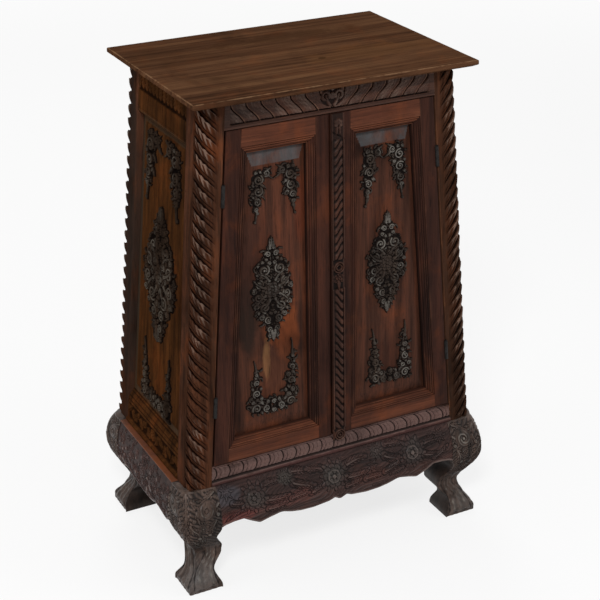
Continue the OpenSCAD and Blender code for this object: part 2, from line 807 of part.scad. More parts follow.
// Pins with a round head at the top
module hinge_pins() {
    for (z = [hinge_z_low, hinge_z_high])
        on_hinge(z) {
            cylinder(h = hinge_h, r = pin_r, center = true, $fn = 48);
            translate([0, 0, hinge_h / 2]) cylinder(h = 2 * barrel_gap, r = 2 * pin_r, $fn = 48);
        }
}

module hinge_frame_leaves_left() { color(iron) hinge_frame_leaves(); }
module hinge_door_leaves_left() { color(iron) hinge_door_leaves(); }
module hinge_pins_left() { color(iron) hinge_pins(); }
module hinge_frame_leaves_right() { color(iron) mirror([1, 0, 0]) hinge_frame_leaves(); }
module hinge_door_leaves_right() { color(iron) mirror([1, 0, 0]) hinge_door_leaves(); }
module hinge_pins_right() { color(iron) mirror([1, 0, 0]) hinge_pins(); }

// The leg's outer face against height: foot, ankle, calf, knee and a shoulder rounded over to the ledge
function leg_out(z, foot, top) = let (t = (z - knee_z) / knee_drop)
    z >= knee_z ? top + (foot + knee_out - top) * (1 - t * t)
    : foot + curve(z, [[0, 0], [foot_rise, 0], [ankle_z * 0.55, -ankle_in * 0.6], [ankle_z, -ankle_in],
        [ankle_z + knee_rise * 0.35, knee_swell * 0.42 - ankle_in],
        [ankle_z + knee_rise * 0.56, knee_swell * 0.76 - ankle_in],
        [ankle_z + knee_rise * 0.79, knee_swell * 0.97 - ankle_in], [knee_z, knee_out]]);

// The leg's inner faces, measured from the middle of the stand across X
function leg_inner(z) = foot_x - foot_s + curve(z, [[0, 0], [foot_rise, 1], [ankle_z * 0.53, 10],
    [ankle_z, -9], [ankle_z + 16, -8], [apron_z - 6, 9], [apron_z + 14, 2], [stand_h, 2]]);

function leg_corner(z) = curve(z, [[0, 4], [ankle_z, 8], [knee_z, 20], [stand_h, leg_round]]);

function leg_ring(z) = let (x = leg_out(z, foot_x, leg_top_x), y = leg_out(z, foot_y, leg_top_y),
        u = leg_inner(z), v = u - foot_dx, r = leg_corner(z), c = 3)
    concat([[-u, c - y], [-u, -v - c], [-u - c, -v], [c - x, -v], [-x, -v - c]],
        [for (i = [0:corner_steps]) let (a = 90 * i / corner_steps) [r - x - r * cos(a), r - y - r * sin(a)]],
        [[-u - c, -y]]);

// A cabriole leg, swept through its plan rings
module cabriole_leg() {
    skin([for (i = [0:leg_steps]) let (z = stand_h * i / leg_steps) [for (p = leg_ring(z)) [p[0], p[1], z]]]);
}

// Where the top of an apron's face would stand if it were upright: the ledge, or the foot if that is nearer
function apron_face(foot, top) = min(foot, top);

// Section of an apron: its front is the leg's outer face, its back is flat
module apron_section(foot, top) {
    low = apron_z - 8;
    polygon(concat([for (i = [0:12]) let (z = low + (stand_h - low) * i / 12) [-leg_out(z, foot, top), z]],
        [[apron_t - apron_face(foot, top), stand_h], [apron_t - apron_face(foot, top), low]]));
}

// Lower edge of the front apron, from the middle outwards: a small tooth, a long lobe, a pointed lobe, a rise
function front_edge(half) = [[0, 0], [half * 0.05, 8], [half * 0.1, 2], [half * 0.23, -2.5],
    [half * 0.34, -1], [half * 0.42, 3.5], [half * 0.49, 10], [half * 0.52, 10.5], [half * 0.61, 5],
    [half * 0.68, -1], [half * 0.76, 11], [half * 0.82, 20.5], [half * 0.9, 20], [half * 0.975, 17],
    [half + 1, 11]];

function side_edge(half) = [[0, -5], [half * 0.22, -2], [half * 0.4, 6], [half * 0.52, 13], [half * 0.64, 12],
    [half * 0.78, 3], [half * 0.86, -1], [half * 0.94, 9], [half + 1, 10]];

// Outline of an apron seen from the front
module apron_outline(half, edge) {
    n = len(edge);
    polygon(concat([for (i = [n - 1:-1:1]) [-edge[i][0], apron_z + edge[i][1]]],
        [for (p = edge) [p[0], apron_z + p[1]]], [[half + 1, stand_h], [-half - 1, stand_h]]));
}

// Tenons of an apron as one bar, larger all round by c where it is cut out of the legs
module apron_tenons(half, foot, top, c = 0) {
    translate([-half - apron_tenon - c, (apron_t - tenon_t) / 2 - apron_face(foot, top) - c,
        apron_z + tenon_low - c])
        cube([2 * (half + apron_tenon + c), tenon_t + 2 * c, apron_h - tenon_low - tenon_high + 2 * c]);
}

// An apron across the stand; half is the distance from its middle to a leg
module apron(half, foot, top, edge) {
    union() {
        intersection() {
            rotate([90, 0, 90]) linear_extrude(2 * half, center = true) apron_section(foot, top);
            rotate([90, 0, 0]) linear_extrude(2 * foot + 2 * knee_out + 2, center = true)
                apron_outline(half, edge);
        }
        apron_tenons(half, foot, top);
    }
}

half_x = leg_face;
half_y = leg_face - foot_dx;

module front_left_leg() {
    difference() {
        cabriole_leg();
        apron_tenons(half_x, foot_y, leg_top_y, joint_fit);
        rotate([0, 0, -90]) apron_tenons(half_y, foot_x, leg_top_x, joint_fit);
        dowel_at(dowel_r + joint_fit, dowel_l + 2 * joint_fit);
    }
}

module leg_front_left() { color(dark_wood) front_left_leg(); }
module leg_front_right() { color(dark_wood) mirror([1, 0, 0]) front_left_leg(); }
module leg_back_left() { color(dark_wood) mirror([0, 1, 0]) front_left_leg(); }
module leg_back_right() { color(dark_wood) mirror([1, 0, 0]) mirror([0, 1, 0]) front_left_leg(); }
module long_apron() {
    color(apron_wood) apron(half_x, foot_y, leg_top_y, front_edge(half_x));
}

module short_apron() {
    color(apron_wood) apron(half_y, foot_x, leg_top_x, side_edge(half_y));
}

module apron_front() { long_apron(); }
module apron_back() { mirror([0, 1, 0]) long_apron(); }
module apron_left() { rotate([0, 0, -90]) short_apron(); }
module apron_right() { rotate([0, 0, 90]) short_apron(); }

module case_dowels() {
    color(inner_wood)
        for (m = [0, 1])
            mirror([m, 0, 0]) dowel_at(dowel_r, dowel_l);
}

top_board();
post_front_left();
post_front_right();
post_back_left();
post_back_right();
frieze_front();
top_rail_back();
top_rail_left();
top_rail_right();
foot_rail_front();
foot_rail_back();
foot_rail_left();
foot_rail_right();
side_panel_left();
side_panel_right();
back_panel();
floor_board();
shelf_lower();
shelf_upper();
shelf_cleats();
door_stop_top();
door_stop_bottom();
side_carvings_left();
side_carvings_right();
door_left_stile_outer();
door_left_stile_inner();
door_left_rail_top();
door_left_rail_bottom();
door_left_panel();
door_left_carvings();
door_right_stile_outer();
door_right_stile_inner();
door_right_rail_top();
door_right_rail_bottom();
door_right_panel();
door_right_carvings();
door_right_astragal();
hinge_frame_leaves_left();
hinge_door_leaves_left();
hinge_pins_left();
hinge_frame_leaves_right();
hinge_door_leaves_right();
hinge_pins_right();
leg_front_left();
leg_front_right();
leg_back_left();
leg_back_right();
apron_front();
apron_back();
apron_left();
apron_right();
case_dowels();
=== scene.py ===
import bpy
import bmesh
import numpy as np
from mathutils import Matrix


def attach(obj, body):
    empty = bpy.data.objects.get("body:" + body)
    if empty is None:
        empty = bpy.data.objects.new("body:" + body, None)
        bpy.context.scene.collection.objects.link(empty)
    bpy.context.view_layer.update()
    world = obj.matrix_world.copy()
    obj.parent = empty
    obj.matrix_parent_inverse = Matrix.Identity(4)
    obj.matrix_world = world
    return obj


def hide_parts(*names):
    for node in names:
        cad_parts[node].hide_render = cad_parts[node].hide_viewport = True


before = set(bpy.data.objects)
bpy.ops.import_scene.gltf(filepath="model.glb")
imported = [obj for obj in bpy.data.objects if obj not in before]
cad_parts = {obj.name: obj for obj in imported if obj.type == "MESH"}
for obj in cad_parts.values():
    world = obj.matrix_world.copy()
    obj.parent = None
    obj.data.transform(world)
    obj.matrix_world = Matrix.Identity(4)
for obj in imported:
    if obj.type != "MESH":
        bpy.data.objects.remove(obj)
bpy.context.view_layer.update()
print("frame loaded:", len(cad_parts), "nodes")

# sizes of the cabinet in mm, the same as in the construction
cabinet = {
    "standTop": 203.0, "boardUnder": 888.0,
    "bottomWidth": 576.0, "bottomDepth": 338.0, "topWidth": 470.0, "topDepth": 302.0,
    "postFront": 43.0, "postSide": 52.0, "frontRailThick": 24.5, "sideRailThick": 24.0,
    "friezeLow": 840.0, "footRailHigh": 240.0, "sidePanelLow": 269.0, "sidePanelHigh": 809.0,
    "doorLow": 242.5, "doorHigh": 838.0, "doorThick": 24.0, "hingeGap": 3.4,
}
sides = ((-1, "left"), (1, "right"))
# every corner: side, end, and the words for it in the names of pieces and of nodes
caseCorners = [(side, end, near.capitalize() + word.capitalize(), near + "_" + word)
               for end, near in ((-1, "front"), (1, "back")) for side, word in sides]
caseHigh = cabinet["boardUnder"] - cabinet["standTop"]
leanX = (cabinet["bottomWidth"] - cabinet["topWidth"]) / 2 / caseHigh
leanY = (cabinet["bottomDepth"] - cabinet["topDepth"]) / 2 / caseHigh


def caseX(z):  # half width of the case at a height
    return cabinet["bottomWidth"] / 2 - leanX * (z - cabinet["standTop"])


def caseY(z):  # half depth of the case at a height
    return cabinet["bottomDepth"] / 2 - leanY * (z - cabinet["standTop"])


def linear(r, g, b):  # a colour read off as 0 to 255, made linear for the shaders
    c = np.array([r, g, b]) / 255.0
    c = np.where(c <= 0.04045, c / 12.92, ((c + 0.055) / 1.055) ** 2.4)
    return (float(c[0]), float(c[1]), float(c[2]), 1.0)


# shader maths
class Wire:  # a socket that can be added, multiplied and so on
    def __init__(self, shop, socket):
        self.shop, self.socket = shop, socket

    def sum(self, kind, other, clamp=False):
        return self.shop.add("ShaderNodeMath", {"operation": kind, "use_clamp": clamp}, {0: self, 1: other})

    def __add__(self, other):
        return self.sum("ADD", other)

    def __mul__(self, other):
        return self.sum("MULTIPLY", other)

    def __sub__(self, other):
        return self.sum("SUBTRACT", other)

    def __rsub__(self, other):
        return self.shop.add("ShaderNodeMath", {"operation": "SUBTRACT"}, {0: other, 1: self})

    __radd__ = __add__
    __rmul__ = __mul__

    def clamp(self):
        return self.sum("ADD", 0.0, True)

    def band(self, low, high):  # 0 below low, 1 above high, smooth between
        return self.shop.add("ShaderNodeMapRange", {"interpolation_type": "SMOOTHSTEP"},
                             {"Value": self, "From Min": low, "From Max": high})


class Shop:  # makes the nodes of one material
    def __init__(self, tree):
        self.tree = tree
        tree.nodes.clear()

    def add(self, kind, settings, sockets, out=0):
        node = self.tree.nodes.new(kind)
        for key, value in settings.items():
            if key == "stops":
                ramp = node.color_ramp
                while len(ramp.elements) < len(value):
                    ramp.elements.new(0.5)
                for element, (place, colour) in zip(ramp.elements, value):
                    element.position, element.color = place, colour
            else:
                setattr(node, key, value)
        for key, value in sockets.items():
            if isinstance(value, Wire):
                self.tree.links.new(value.socket, node.inputs[key])
            else:
                node.inputs[key].default_value = value
        return Wire(self, node.outputs[out]) if len(node.outputs) else None

    def mix(self, factor, a, b):
        return self.add("ShaderNodeMix", {"data_type": "RGBA"}, {0: factor, 6: a, 7: b}, 2)

    def place(self, scale, shift=(0, 0, 0)):
        where = self.add("ShaderNodeTexCoord", {}, {}, 3)
        return self.add("ShaderNodeMapping", {}, {0: where, 1: shift, 3: scale})

    def noise(self, where, detail=4.0, rough=0.55, distort=0.0):
        return self.add("ShaderNodeTexNoise", {}, {"Vector": where, "Scale": 1.0, "Detail": detail,
                                                   "Roughness": rough, "Distortion": distort})

    def nearTo(self, centre, size):  # 1 at a point of the cabinet, falling to 0 at the edge of an ellipsoid
        away = self.add("ShaderNodeVectorMath", {"operation": "SUBTRACT"},
                        {0: self.add("ShaderNodeTexCoord", {}, {}, 3), 1: centre})
        away = self.add("ShaderNodeVectorMath", {"operation": "DIVIDE"}, {0: away, 1: size})
        return 1.0 - self.add("ShaderNodeVectorMath", {"operation": "LENGTH"}, {0: away}, 1)

    def attribute(self, name):
        return self.add("ShaderNodeAttribute", {"attribute_name": name}, {}, 2)

    def finish(self, colour, rough, height, bump=0.4, reach=0.001, metal=0.0, shine=0.15):
        normal = self.add("ShaderNodeBump", {}, {"Height": height, "Strength": bump, "Distance": reach})
        skin = self.add("ShaderNodeBsdfPrincipled", {}, {
            "Base Color": colour, "Roughness": rough, "Metallic": metal, "Normal": normal,
            "Specular IOR Level": shine})
        self.add("ShaderNodeOutputMaterial", {}, {0: skin})


# wood finishes: colours as seen from 0 to 255, axis of the grain, share of dark stain, roughness, strength
# of the shine; worn and its share: colour and share of the marked places, which are worn edges, and also a
# painted reflection, partly wax bloom, on the door panels' top bevels and a painted highlight, partly edge
# wear, on the frieze's leaf edges; orange: share of warm patches; deep: how far painted shade darkens the
# ground of carving; grey: share of a painted grey sheen on raised places; high: colour and share of the
# painted highlight on the highest places; ground: relief at which the painted shade of the ground starts
# and ends; glint: range of the cloud pattern in which the painted highlight shows; spots: place in m, size,
# colour and share of tinted places, among them painted shade and painted sheen
finishes = {
    "tabletop": {
        "light": (104, 73, 50), "mid": (82, 55, 38), "dark": (50, 32, 22), "grain": "x", "stain": 0.40,
        "rough": 0.52, "shine": 0.0, "wornAndLit": (138, 106, 78), "wornAndLitShare": 0.50, "orange": 0.10,
        "spots": [((0.035, -0.05, 0.9), (0.010, 0.007, 0.02), (24, 14, 10), 0.9),
                  ((-0.19, 0.08, 0.9), (0.14, 0.08, 0.05), (54, 34, 21), 0.30),
                  ((0.02, 0.10, 0.9), (0.20, 0.03, 0.05), (52, 33, 21), 0.5),
                  ((0.12, -0.05, 0.9), (0.20, 0.05, 0.05), (100, 68, 42), 0.35)],
    },
    "postTeak": {
        "light": (92, 56, 38), "mid": (65, 40, 28), "dark": (34, 22, 16), "grain": "z", "stain": 0.45,
        "rough": 0.42, "shine": 0.0, "wornAndLit": (150, 100, 72), "wornAndLitShare": 0.55, "orange": 0.22,
        "deep": 0.90, "grey": 0.15, "high": ((148, 120, 104), 0.50),
        # spots: painted shade darkens the right front post, and the back left post beside the side panel's
        # recess
        "spots": [((0.270, -0.16, 0.55), (0.10, 0.12, 0.80), (36, 27, 21), 0.50),
                  ((-0.27, 0.128, 0.60), (0.10, 0.035, 0.60), (36, 29, 25), 0.80)],
    },
    "stripTeak": {
        "light": (84, 54, 42), "mid": (60, 38, 30), "dark": (32, 20, 16), "grain": "z", "stain": 0.40,
        "rough": 0.40, "shine": 0.08, "orange": 0.10, "deep": 0.94, "grey": 0.10,
        "high": ((140, 106, 88), 0.55), "ground": (0.10, 0.62),
    },
    "railTeak": {
        "light": (100, 58, 40), "mid": (78, 44, 31), "dark": (45, 26, 19), "grain": "x", "stain": 0.50,
        "rough": 0.42, "shine": 0.06, "wornAndLit": (124, 84, 62), "wornAndLitShare": 0.5, "orange": 0.18, "deep": 0.60,
    },
    "friezeTeak": {
        "light": (84, 55, 44), "mid": (62, 41, 33), "dark": (34, 23, 19), "grain": "x", "stain": 0.45,
        # the worn tint is a painted highlight, partly edge wear, along the frieze's leaf edges, and wear on
        # the foot rail's bead
        "rough": 0.40, "shine": 0.08, "wornAndLit": (122, 90, 72), "wornAndLitShare": 0.5, "orange": 0.08, "deep": 0.92,
        "grey": 0.20, "high": ((112, 84, 70), 0.40),
        "spots": [((0.0, -0.17, 0.222), (0.50, 0.06, 0.04), (112, 88, 83), 0.66),
                  ((0.0, -0.172, 0.2055), (0.60, 0.02, 0.007), (58, 32, 30), 0.85)],
    },
    "stileTeak": {
        "light": (70, 40, 30), "mid": (52, 30, 23), "dark": (29, 17, 14), "grain": "z", "stain": 0.45,
        "rough": 0.40, "shine": 0.05, "wornAndLit": (104, 68, 50), "wornAndLitShare": 0.5, "orange": 0.14, "deep": 0.72,
    },
    "panelTeak": {
        "light": (92, 53, 38), "mid": (66, 40, 30), "dark": (34, 20, 15), "grain": "z", "stain": 0.80,
        # the worn tint here is grey-blue: on the top bevels a painted reflection, partly wax bloom; round
        # the raised field edge wear
        "rough": 0.38, "shine": 0.05, "wornAndLit": (80, 84, 86), "wornAndLitShare": 0.85, "orange": 0.20,
        "spots": [((-0.127, -0.16, 0.415), (0.011, 0.05, 0.045), (132, 96, 62), 0.65),
                  ((-0.088, -0.16, 0.46), (0.035, 0.05, 0.08), (128, 66, 34), 0.65),
                  ((-0.162, -0.16, 0.50), (0.03, 0.06, 0.10), (30, 24, 20), 0.8),
                  ((-0.060, -0.16, 0.68), (0.02, 0.06, 0.10), (96, 46, 28), 0.5),
                  ((-0.150, -0.16, 0.60), (0.05, 0.06, 0.12), (50, 30, 25), 0.4),
                  ((-0.100, -0.16, 0.40), (0.07, 0.05, 0.05), (104, 62, 43), 0.35),
                  ((0.10, -0.16, 0.36), (0.05, 0.06, 0.06), (52, 29, 21), 0.6)],
    },
    "sideTeak": {
        "light": (82, 49, 25), "mid": (62, 37, 19), "dark": (34, 22, 13), "grain": "z", "stain": 0.50,
        "rough": 0.55, "shine": 0.0, "wornAndLit": (70, 58, 46), "wornAndLitShare": 0.5, "orange": 0.16, "deep": 0.75,
        "high": ((96, 70, 48), 0.30),
        # the spot darkens the side beside the back post as painted shade in its recess
        "spots": [((-0.24, 0.108, 0.58), (0.08, 0.022, 0.42), (30, 27, 25), 0.8)],
    },
    "carvedTeak": {
        "light": (68, 57, 49), "mid": (50, 41, 36), "dark": (28, 22, 18), "grain": "z", "stain": 0.20,
        "rough": 0.30, "shine": 0.04, "deep": 0.94, "grey": 0.25, "high": ((144, 138, 130), 0.65),
        "ground": (0.18, 0.60),
        # the spot darkens carving towards the left side as painted shade
        "spots": [((-0.27, 0.0, 0.54), (0.09, 0.40, 0.90), (28, 22, 17), 0.80)],
    },
    "sideCarving": {
        "light": (60, 46, 36), "mid": (43, 33, 26), "dark": (25, 18, 14), "grain": "z", "stain": 0.25,
        "rough": 0.34, "shine": 0.0, "deep": 0.94, "grey": 0.20, "high": ((106, 96, 84), 0.60),
        "ground": (0.18, 0.60),
    },
    "legTeak": {
        "light": (96, 78, 69), "mid": (66, 52, 45), "dark": (23, 17, 14), "grain": "z", "stain": 0.25,
        "rough": 0.30, "shine": 0.14, "deep": 0.94, "grey": 0.30, "high": ((146, 136, 126), 0.60),
        "ground": (0.0, 0.48), "glint": (0.38, 0.56),
        # the first two spots are a painted grey sheen on the front feet
        "spots": [((-0.30, -0.19, 0.03), (0.07, 0.06, 0.06), (98, 97, 96), 0.40),
                  ((0.30, -0.19, 0.03), (0.07, 0.06, 0.06), (92, 86, 82), 0.35),
                  ((-0.27, -0.16, 0.10), (0.06, 0.07, 0.035), (36, 25, 20), 0.6),
                  ((0.27, -0.16, 0.10), (0.06, 0.07, 0.035), (44, 27, 20), 0.6),
                  ((-0.25, 0.16, 0.08), (0.08, 0.08, 0.10), (40, 30, 22), 0.5)],
    },
    "apronTeak": {
        "light": (84, 59, 53), "mid": (62, 43, 39), "dark": (34, 24, 22), "grain": "x", "stain": 0.30,
        "rough": 0.34, "shine": 0.12, "wornAndLit": (122, 68, 38), "wornAndLitShare": 0.8, "orange": 0.05, "deep": 0.88,
        "grey": 0.15, "high": ((136, 114, 106), 0.42), "ground": (0.0, 0.62), "glint": (0.36, 0.62),
        "spots": [((-0.222, -0.18, 0.185), (0.04, 0.05, 0.022), (72, 72, 78), 0.55),
                  ((-0.173, -0.18, 0.169), (0.034, 0.05, 0.034), (60, 58, 54), 0.6),
                  ((-0.108, -0.18, 0.189), (0.022, 0.05, 0.022), (56, 55, 50), 0.6),
                  ((-0.013, -0.18, 0.168), (0.034, 0.05, 0.034), (60, 58, 54), 0.6),
                  ((0.152, -0.18, 0.171), (0.034, 0.05, 0.034), (58, 54, 51), 0.6),
                  ((0.079, -0.18, 0.191), (0.022, 0.05, 0.022), (58, 54, 51), 0.5),
                  ((0.0, -0.176, 0.202), (0.60, 0.02, 0.010), (40, 25, 23), 0.7),
                  ((-0.20, -0.18, 0.145), (0.05, 0.05, 0.02), (104, 50, 44), 0.6),
                  ((-0.10, -0.18, 0.150), (0.07, 0.05, 0.02), (92, 52, 46), 0.4),
                  ((0.06, -0.18, 0.150), (0.06, 0.05, 0.02), (92, 54, 44), 0.4)],
    },
    "insideTeak": {
        "light": (124, 90, 58), "mid": (104, 73, 45), "dark": (70, 47, 28), "grain": "x", "stain": 0.25,
        "rough": 0.62, "shine": 0.10,
    },
    "backTeak": {
        "light": (104, 74, 48), "mid": (84, 58, 37), "dark": (54, 37, 24), "grain": "z", "stain": 0.35,
        "rough": 0.62, "shine": 0.05,
    },
    "insideUpright": {
        "light": (120, 87, 55), "mid": (99, 69, 43), "dark": (66, 45, 27), "grain": "y", "stain": 0.25,
        "rough": 0.62, "shine": 0.10,
    },
}
grainScale = {"x": (1, 30, 30), "y": (30, 1, 30), "z": (30, 30, 1)}  # grain runs along the axis with 1


def newMaterial(name):
    material = bpy.data.materials.new(name)
    material.use_nodes = True
    return material, Shop(material.node_tree)


def wood(name):
    look = {"orange": 0.0, "wornAndLitShare": 0.0, "deep": 0.0, "grey": 0.0, "spots": [],
            "high": ((128, 92, 70), 0.35), "ground": (0.08, 0.55), "glint": (0.44, 0.60), **finishes[name]}
    light, mid, dark = linear(*look["light"]), linear(*look["mid"]), linear(*look["dark"])
    material, shop = newMaterial(name)
    along = np.array(grainScale[look["grain"]], float)
    streak = shop.noise(shop.place(tuple(along * 2.6)), 6.0, 0.62, 0.35)
    broad = shop.noise(shop.place(tuple(along * 0.9), (1.3, 0.2, 2.7)), 3.0, 0.55, 0.2)
    thread = shop.noise(shop.place(tuple(along * 13)), 3.0, 0.6)
    pore = shop.noise(shop.place(tuple(along * 24), (0.5, 0.9, 0.1)), 2.0, 0.5)
    patch = shop.noise(shop.place((7, 7, 4.5)), 4.0, 0.6, 0.6)
    cloud = shop.noise(shop.place((19, 19, 11), (3.1, 1.7, 0.4)), 5.0, 0.65, 0.3)
    colour = shop.add("ShaderNodeValToRGB", {"stops": [(0.34, dark), (0.50, mid), (0.66, light)]},
                      {0: streak * 0.7 + broad * 0.3})
    colour = shop.mix(thread.band(0.50, 0.72) * 0.50, colour, dark)
    if look["orange"]:
        colour = shop.mix(cloud.band(0.48, 0.72) * look["orange"], colour, linear(140, 70, 30))
    for centre, size, tint, share in look["spots"]:
        near = (shop.nearTo(centre, size) + cloud * 1.6 + streak * 0.8 - 1.3).band(0.0, 0.45)
        colour = shop.mix(near * share, colour, linear(*tint))
    blotted = (dark[0] * 0.4, dark[1] * 0.4, dark[2] * 0.45, 1.0)
    poreDark = (dark[0] * 0.3, dark[1] * 0.3, dark[2] * 0.3, 1.0)
    colour = shop.mix(patch.band(0.52, 0.74) * look["stain"], colour, blotted)
    colour = shop.mix(pore.band(0.60, 0.70) * 0.55, colour, poreDark)
    height = streak * 0.35 + thread * 0.35 + pore * 0.3
    rough = 0.16 * cloud + 0.12 * thread + (look["rough"] - 0.08)
    if look["deep"]:  # carved wood: a painted highlight on the highest places, painted shade filling the deepest ones
        depth = shop.attribute("relief")
        tint, share = look["high"]
        # painted highlight (glint) in patches on the highest places
        paintedGlint = depth.band(0.66, 0.96) * cloud.band(*look["glint"]) * share
        colour = shop.mix(paintedGlint, colour, linear(*tint))
        # a painted grey sheen on raised places
        if look["grey"]:
            paintedSheen = depth.band(0.50, 0.95) * cloud.band(0.36, 0.58) * look["grey"]
            colour = shop.mix(paintedSheen, colour, linear(86, 88, 84))
        # painted shade: the ground of the carving is darkened towards near black
        deep = 1.0 - depth.band(*look["ground"])
        colour = shop.mix(deep * look["deep"], colour, linear(13, 9, 8))
        rough = rough + 0.22 * deep
    # marked places get a lighter tint: worn edges, and on some pieces a painted reflection and a painted
    # highlight
    if look["wornAndLitShare"]:
        wornAndLitPatch = (1.2 * shop.attribute("wear") - 0.9 * cloud).band(0.05, 0.5)
        colour = shop.mix(wornAndLitPatch * look["wornAndLitShare"], colour, linear(*look["wornAndLit"]))
        rough = rough + 0.12 * wornAndLitPatch
    shop.finish(colour, rough.clamp(), height, 0.35, 0.0008, 0.0, look["shine"])
    return material


def agedIron(name, base, tint, rough):
    material, shop = newMaterial(name)
    blot = shop.noise(shop.place((160, 160, 160)), 5.0, 0.65)
    grime = shop.noise(shop.place((900, 900, 900)), 3.0, 0.5)
    colour = shop.mix(blot.band(0.42, 0.62), base, tint)
    colour = shop.mix(grime.band(0.55, 0.8) * 0.6, colour, linear(14, 12, 10))
    shop.finish(colour, (0.25 * blot + rough).clamp(), grime, 0.5, 0.0003, 0.6, 0.2)
    return material


wooden = {name: wood(name) for name in finishes}
hingeIron = agedIron("hingeIron", linear(40, 38, 37), linear(24, 22, 21), 0.40)
print("materials made:", len(wooden) + 1)


# meshes from grids
def buildMesh(name, points, quads, finish, body, nodes=(), caps=(), relief=None, wear=None,
              sharp=50, weld=False):
    # points in mm, quads as rows of four, caps as longer faces; the faces are turned outwards
    tri = np.concatenate([quads[:, [0, 1, 2]], quads[:, [0, 2, 3]]] +
                         [np.stack([np.full(len(c) - 2, c[0]), c[1:-1], c[2:]], 1) for c in caps])
    a, b, c = points[tri[:, 0]], points[tri[:, 1]], points[tri[:, 2]]
    if np.einsum("ij,ij->i", a, np.cross(b, c)).sum() < 0:
        quads = quads[:, ::-1]
        caps = [cap[::-1] for cap in caps]
    mesh = bpy.data.meshes.new(name)
    mesh.vertices.add(len(points))
    mesh.vertices.foreach_set("co", (points * 0.001).astype(np.float32).ravel())
    loops = np.concatenate([quads.ravel()] + list(caps)).astype(np.int32)
    sizes = np.concatenate([np.full(len(quads), 4), [len(cap) for cap in caps]]).astype(np.int32)
    mesh.loops.add(len(loops))
    mesh.loops.foreach_set("vertex_index", loops)
    mesh.polygons.add(len(sizes))
    mesh.polygons.foreach_set("loop_start", np.concatenate([[0], np.cumsum(sizes)[:-1]]).astype(np.int32))
    mesh.polygons.foreach_set("loop_total", sizes)
    mesh.update(calc_edges=True)
    relief = np.ones(len(points)) if relief is None else relief
    wear = np.zeros(len(points)) if wear is None else wear
    for label, values in (("relief", relief), ("wear", wear)):
        mesh.attributes.new(label, "FLOAT", "POINT").data.foreach_set("value", values.astype(np.float32))
    if weld:  # points that fell together at an end become one
        soft = bmesh.new()
        soft.from_mesh(mesh)
        bmesh.ops.remove_doubles(soft, verts=soft.verts, dist=1e-6)
        bmesh.ops.dissolve_degenerate(soft, edges=soft.edges, dist=1e-7)
        soft.to_mesh(mesh)
        soft.free()
    mesh.validate()
    mesh.shade_smooth()
    mesh.set_sharp_from_angle(angle=np.radians(sharp))
    mesh.materials.append(wooden[finish])
    piece = bpy.data.objects.new(name, mesh)
    bpy.context.scene.collection.objects.link(piece)
    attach(piece, body)
    if nodes:
        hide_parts(*nodes)
    return piece


def gridQuads(n, m):  # faces of an n by m grid of points
    i, j = np.meshgrid(np.arange(n - 1), np.arange(m - 1), indexing="ij")
    a = (i * m + j).ravel()
    return np.stack([a, a + m, a + m + 1, a + 1], 1)


def rim(n, m):  # indices round the border of a grid, once
    left = np.arange(m)
    far = np.arange(1, n) * m + m - 1
    right = (n - 1) * m + np.arange(m - 2, -1, -1)
    near = np.arange(n - 2, 0, -1) * m
    return np.concatenate([left, far, right, near])


def board(name, front, back, finish, body, nodes=(), relief=None, wear=None, sharp=50):
    # a thick board: front is a grid of points, and walls join its border to the border of back
    n, m = front.shape[:2]
    border = rim(n, m)
    points = np.concatenate([front.reshape(-1, 3), back.reshape(-1, 3)[border]])
    count = len(border)
    k = np.arange(count)
    walls = np.stack([border[k], border[(k + 1) % count], n * m + (k + 1) % count, n * m + k], 1)
    quads = np.concatenate([gridQuads(n, m), walls])
    relief = None if relief is None else np.concatenate([relief.ravel(), relief.ravel()[border]])
    wear = None if wear is None else np.concatenate([wear.ravel(), np.zeros(count)])
    return buildMesh(name, points, quads, finish, body, nodes, [n * m + k], relief, wear, sharp)


def post(name, rings, finish, body, nodes=(), relief=None, wear=None, sharp=50, weld=False):
    # closed rings of points stacked one on the other, with a flat end on the first and the last
    n, m = rings.shape[:2]
    i, j = np.meshgrid(np.arange(n - 1), np.arange(m), indexing="ij")
    a = (i * m + j).ravel()
    b = (i * m + (j + 1) % m).ravel()
    quads = np.stack([a, a + m, b + m, b], 1)
    caps = [np.arange(m), (n - 1) * m + np.arange(m)[::-1]]
    return buildMesh(name, rings.reshape(-1, 3), quads, finish, body, nodes, caps,
                     None if relief is None else relief.ravel(), None if wear is None else wear.ravel(),
                     sharp, weld)


def bothEnds(low, high, step):  # evenly spaced values from low to high
    return np.linspace(low, high, max(2, int(round((high - low) / step)) + 1))


def onFront(x, z, out):  # a point on the leaning front, out mm proud of it
    return np.stack([x, -caseY(z) - out, z], -1)


def onSide(y, z, out, side):  # a point on the leaning left (-1) or right (1) side
    return np.stack([side * (caseX(z) + out), y, z], -1)


def smooth(value, low, high):  # 0 below low, 1 above high, eased between
    t = np.clip((value - low) / (high - low), 0, 1)
    return t * t * (3 - 2 * t)


def groove(value, middle, width):  # 1 in the middle of a groove, falling off like a bell
    return np.exp(-((value - middle) / width) ** 2)


# carving: field is a grid of heights in mm over the places u by v
def block(u, v, low, high):  # the part of a grid between two corners, or None
    iu = np.where((u > low[0]) & (u < high[0]))[0]
    iv = np.where((v > low[1]) & (v < high[1]))[0]
    if len(iu) == 0 or len(iv) == 0:
        return None
    return slice(iu[0], iu[-1] + 1), slice(iv[0], iv[-1] + 1)


def curl(x, y, heading, length, bend, tighten=0.0, count=16):
    # a path whose direction turns by bend degrees per mm at its start and tightens evenly towards its end
    s = np.linspace(0, length, count)
    angle = np.radians(heading + bend * s + tighten * s * s)
    step = length / (count - 1)
    px = x + np.concatenate([[0], np.cumsum(np.cos(angle[:-1]) * step)])
    py = y + np.concatenate([[0], np.cumsum(np.sin(angle[:-1]) * step)])
    return np.stack([px, py], 1)


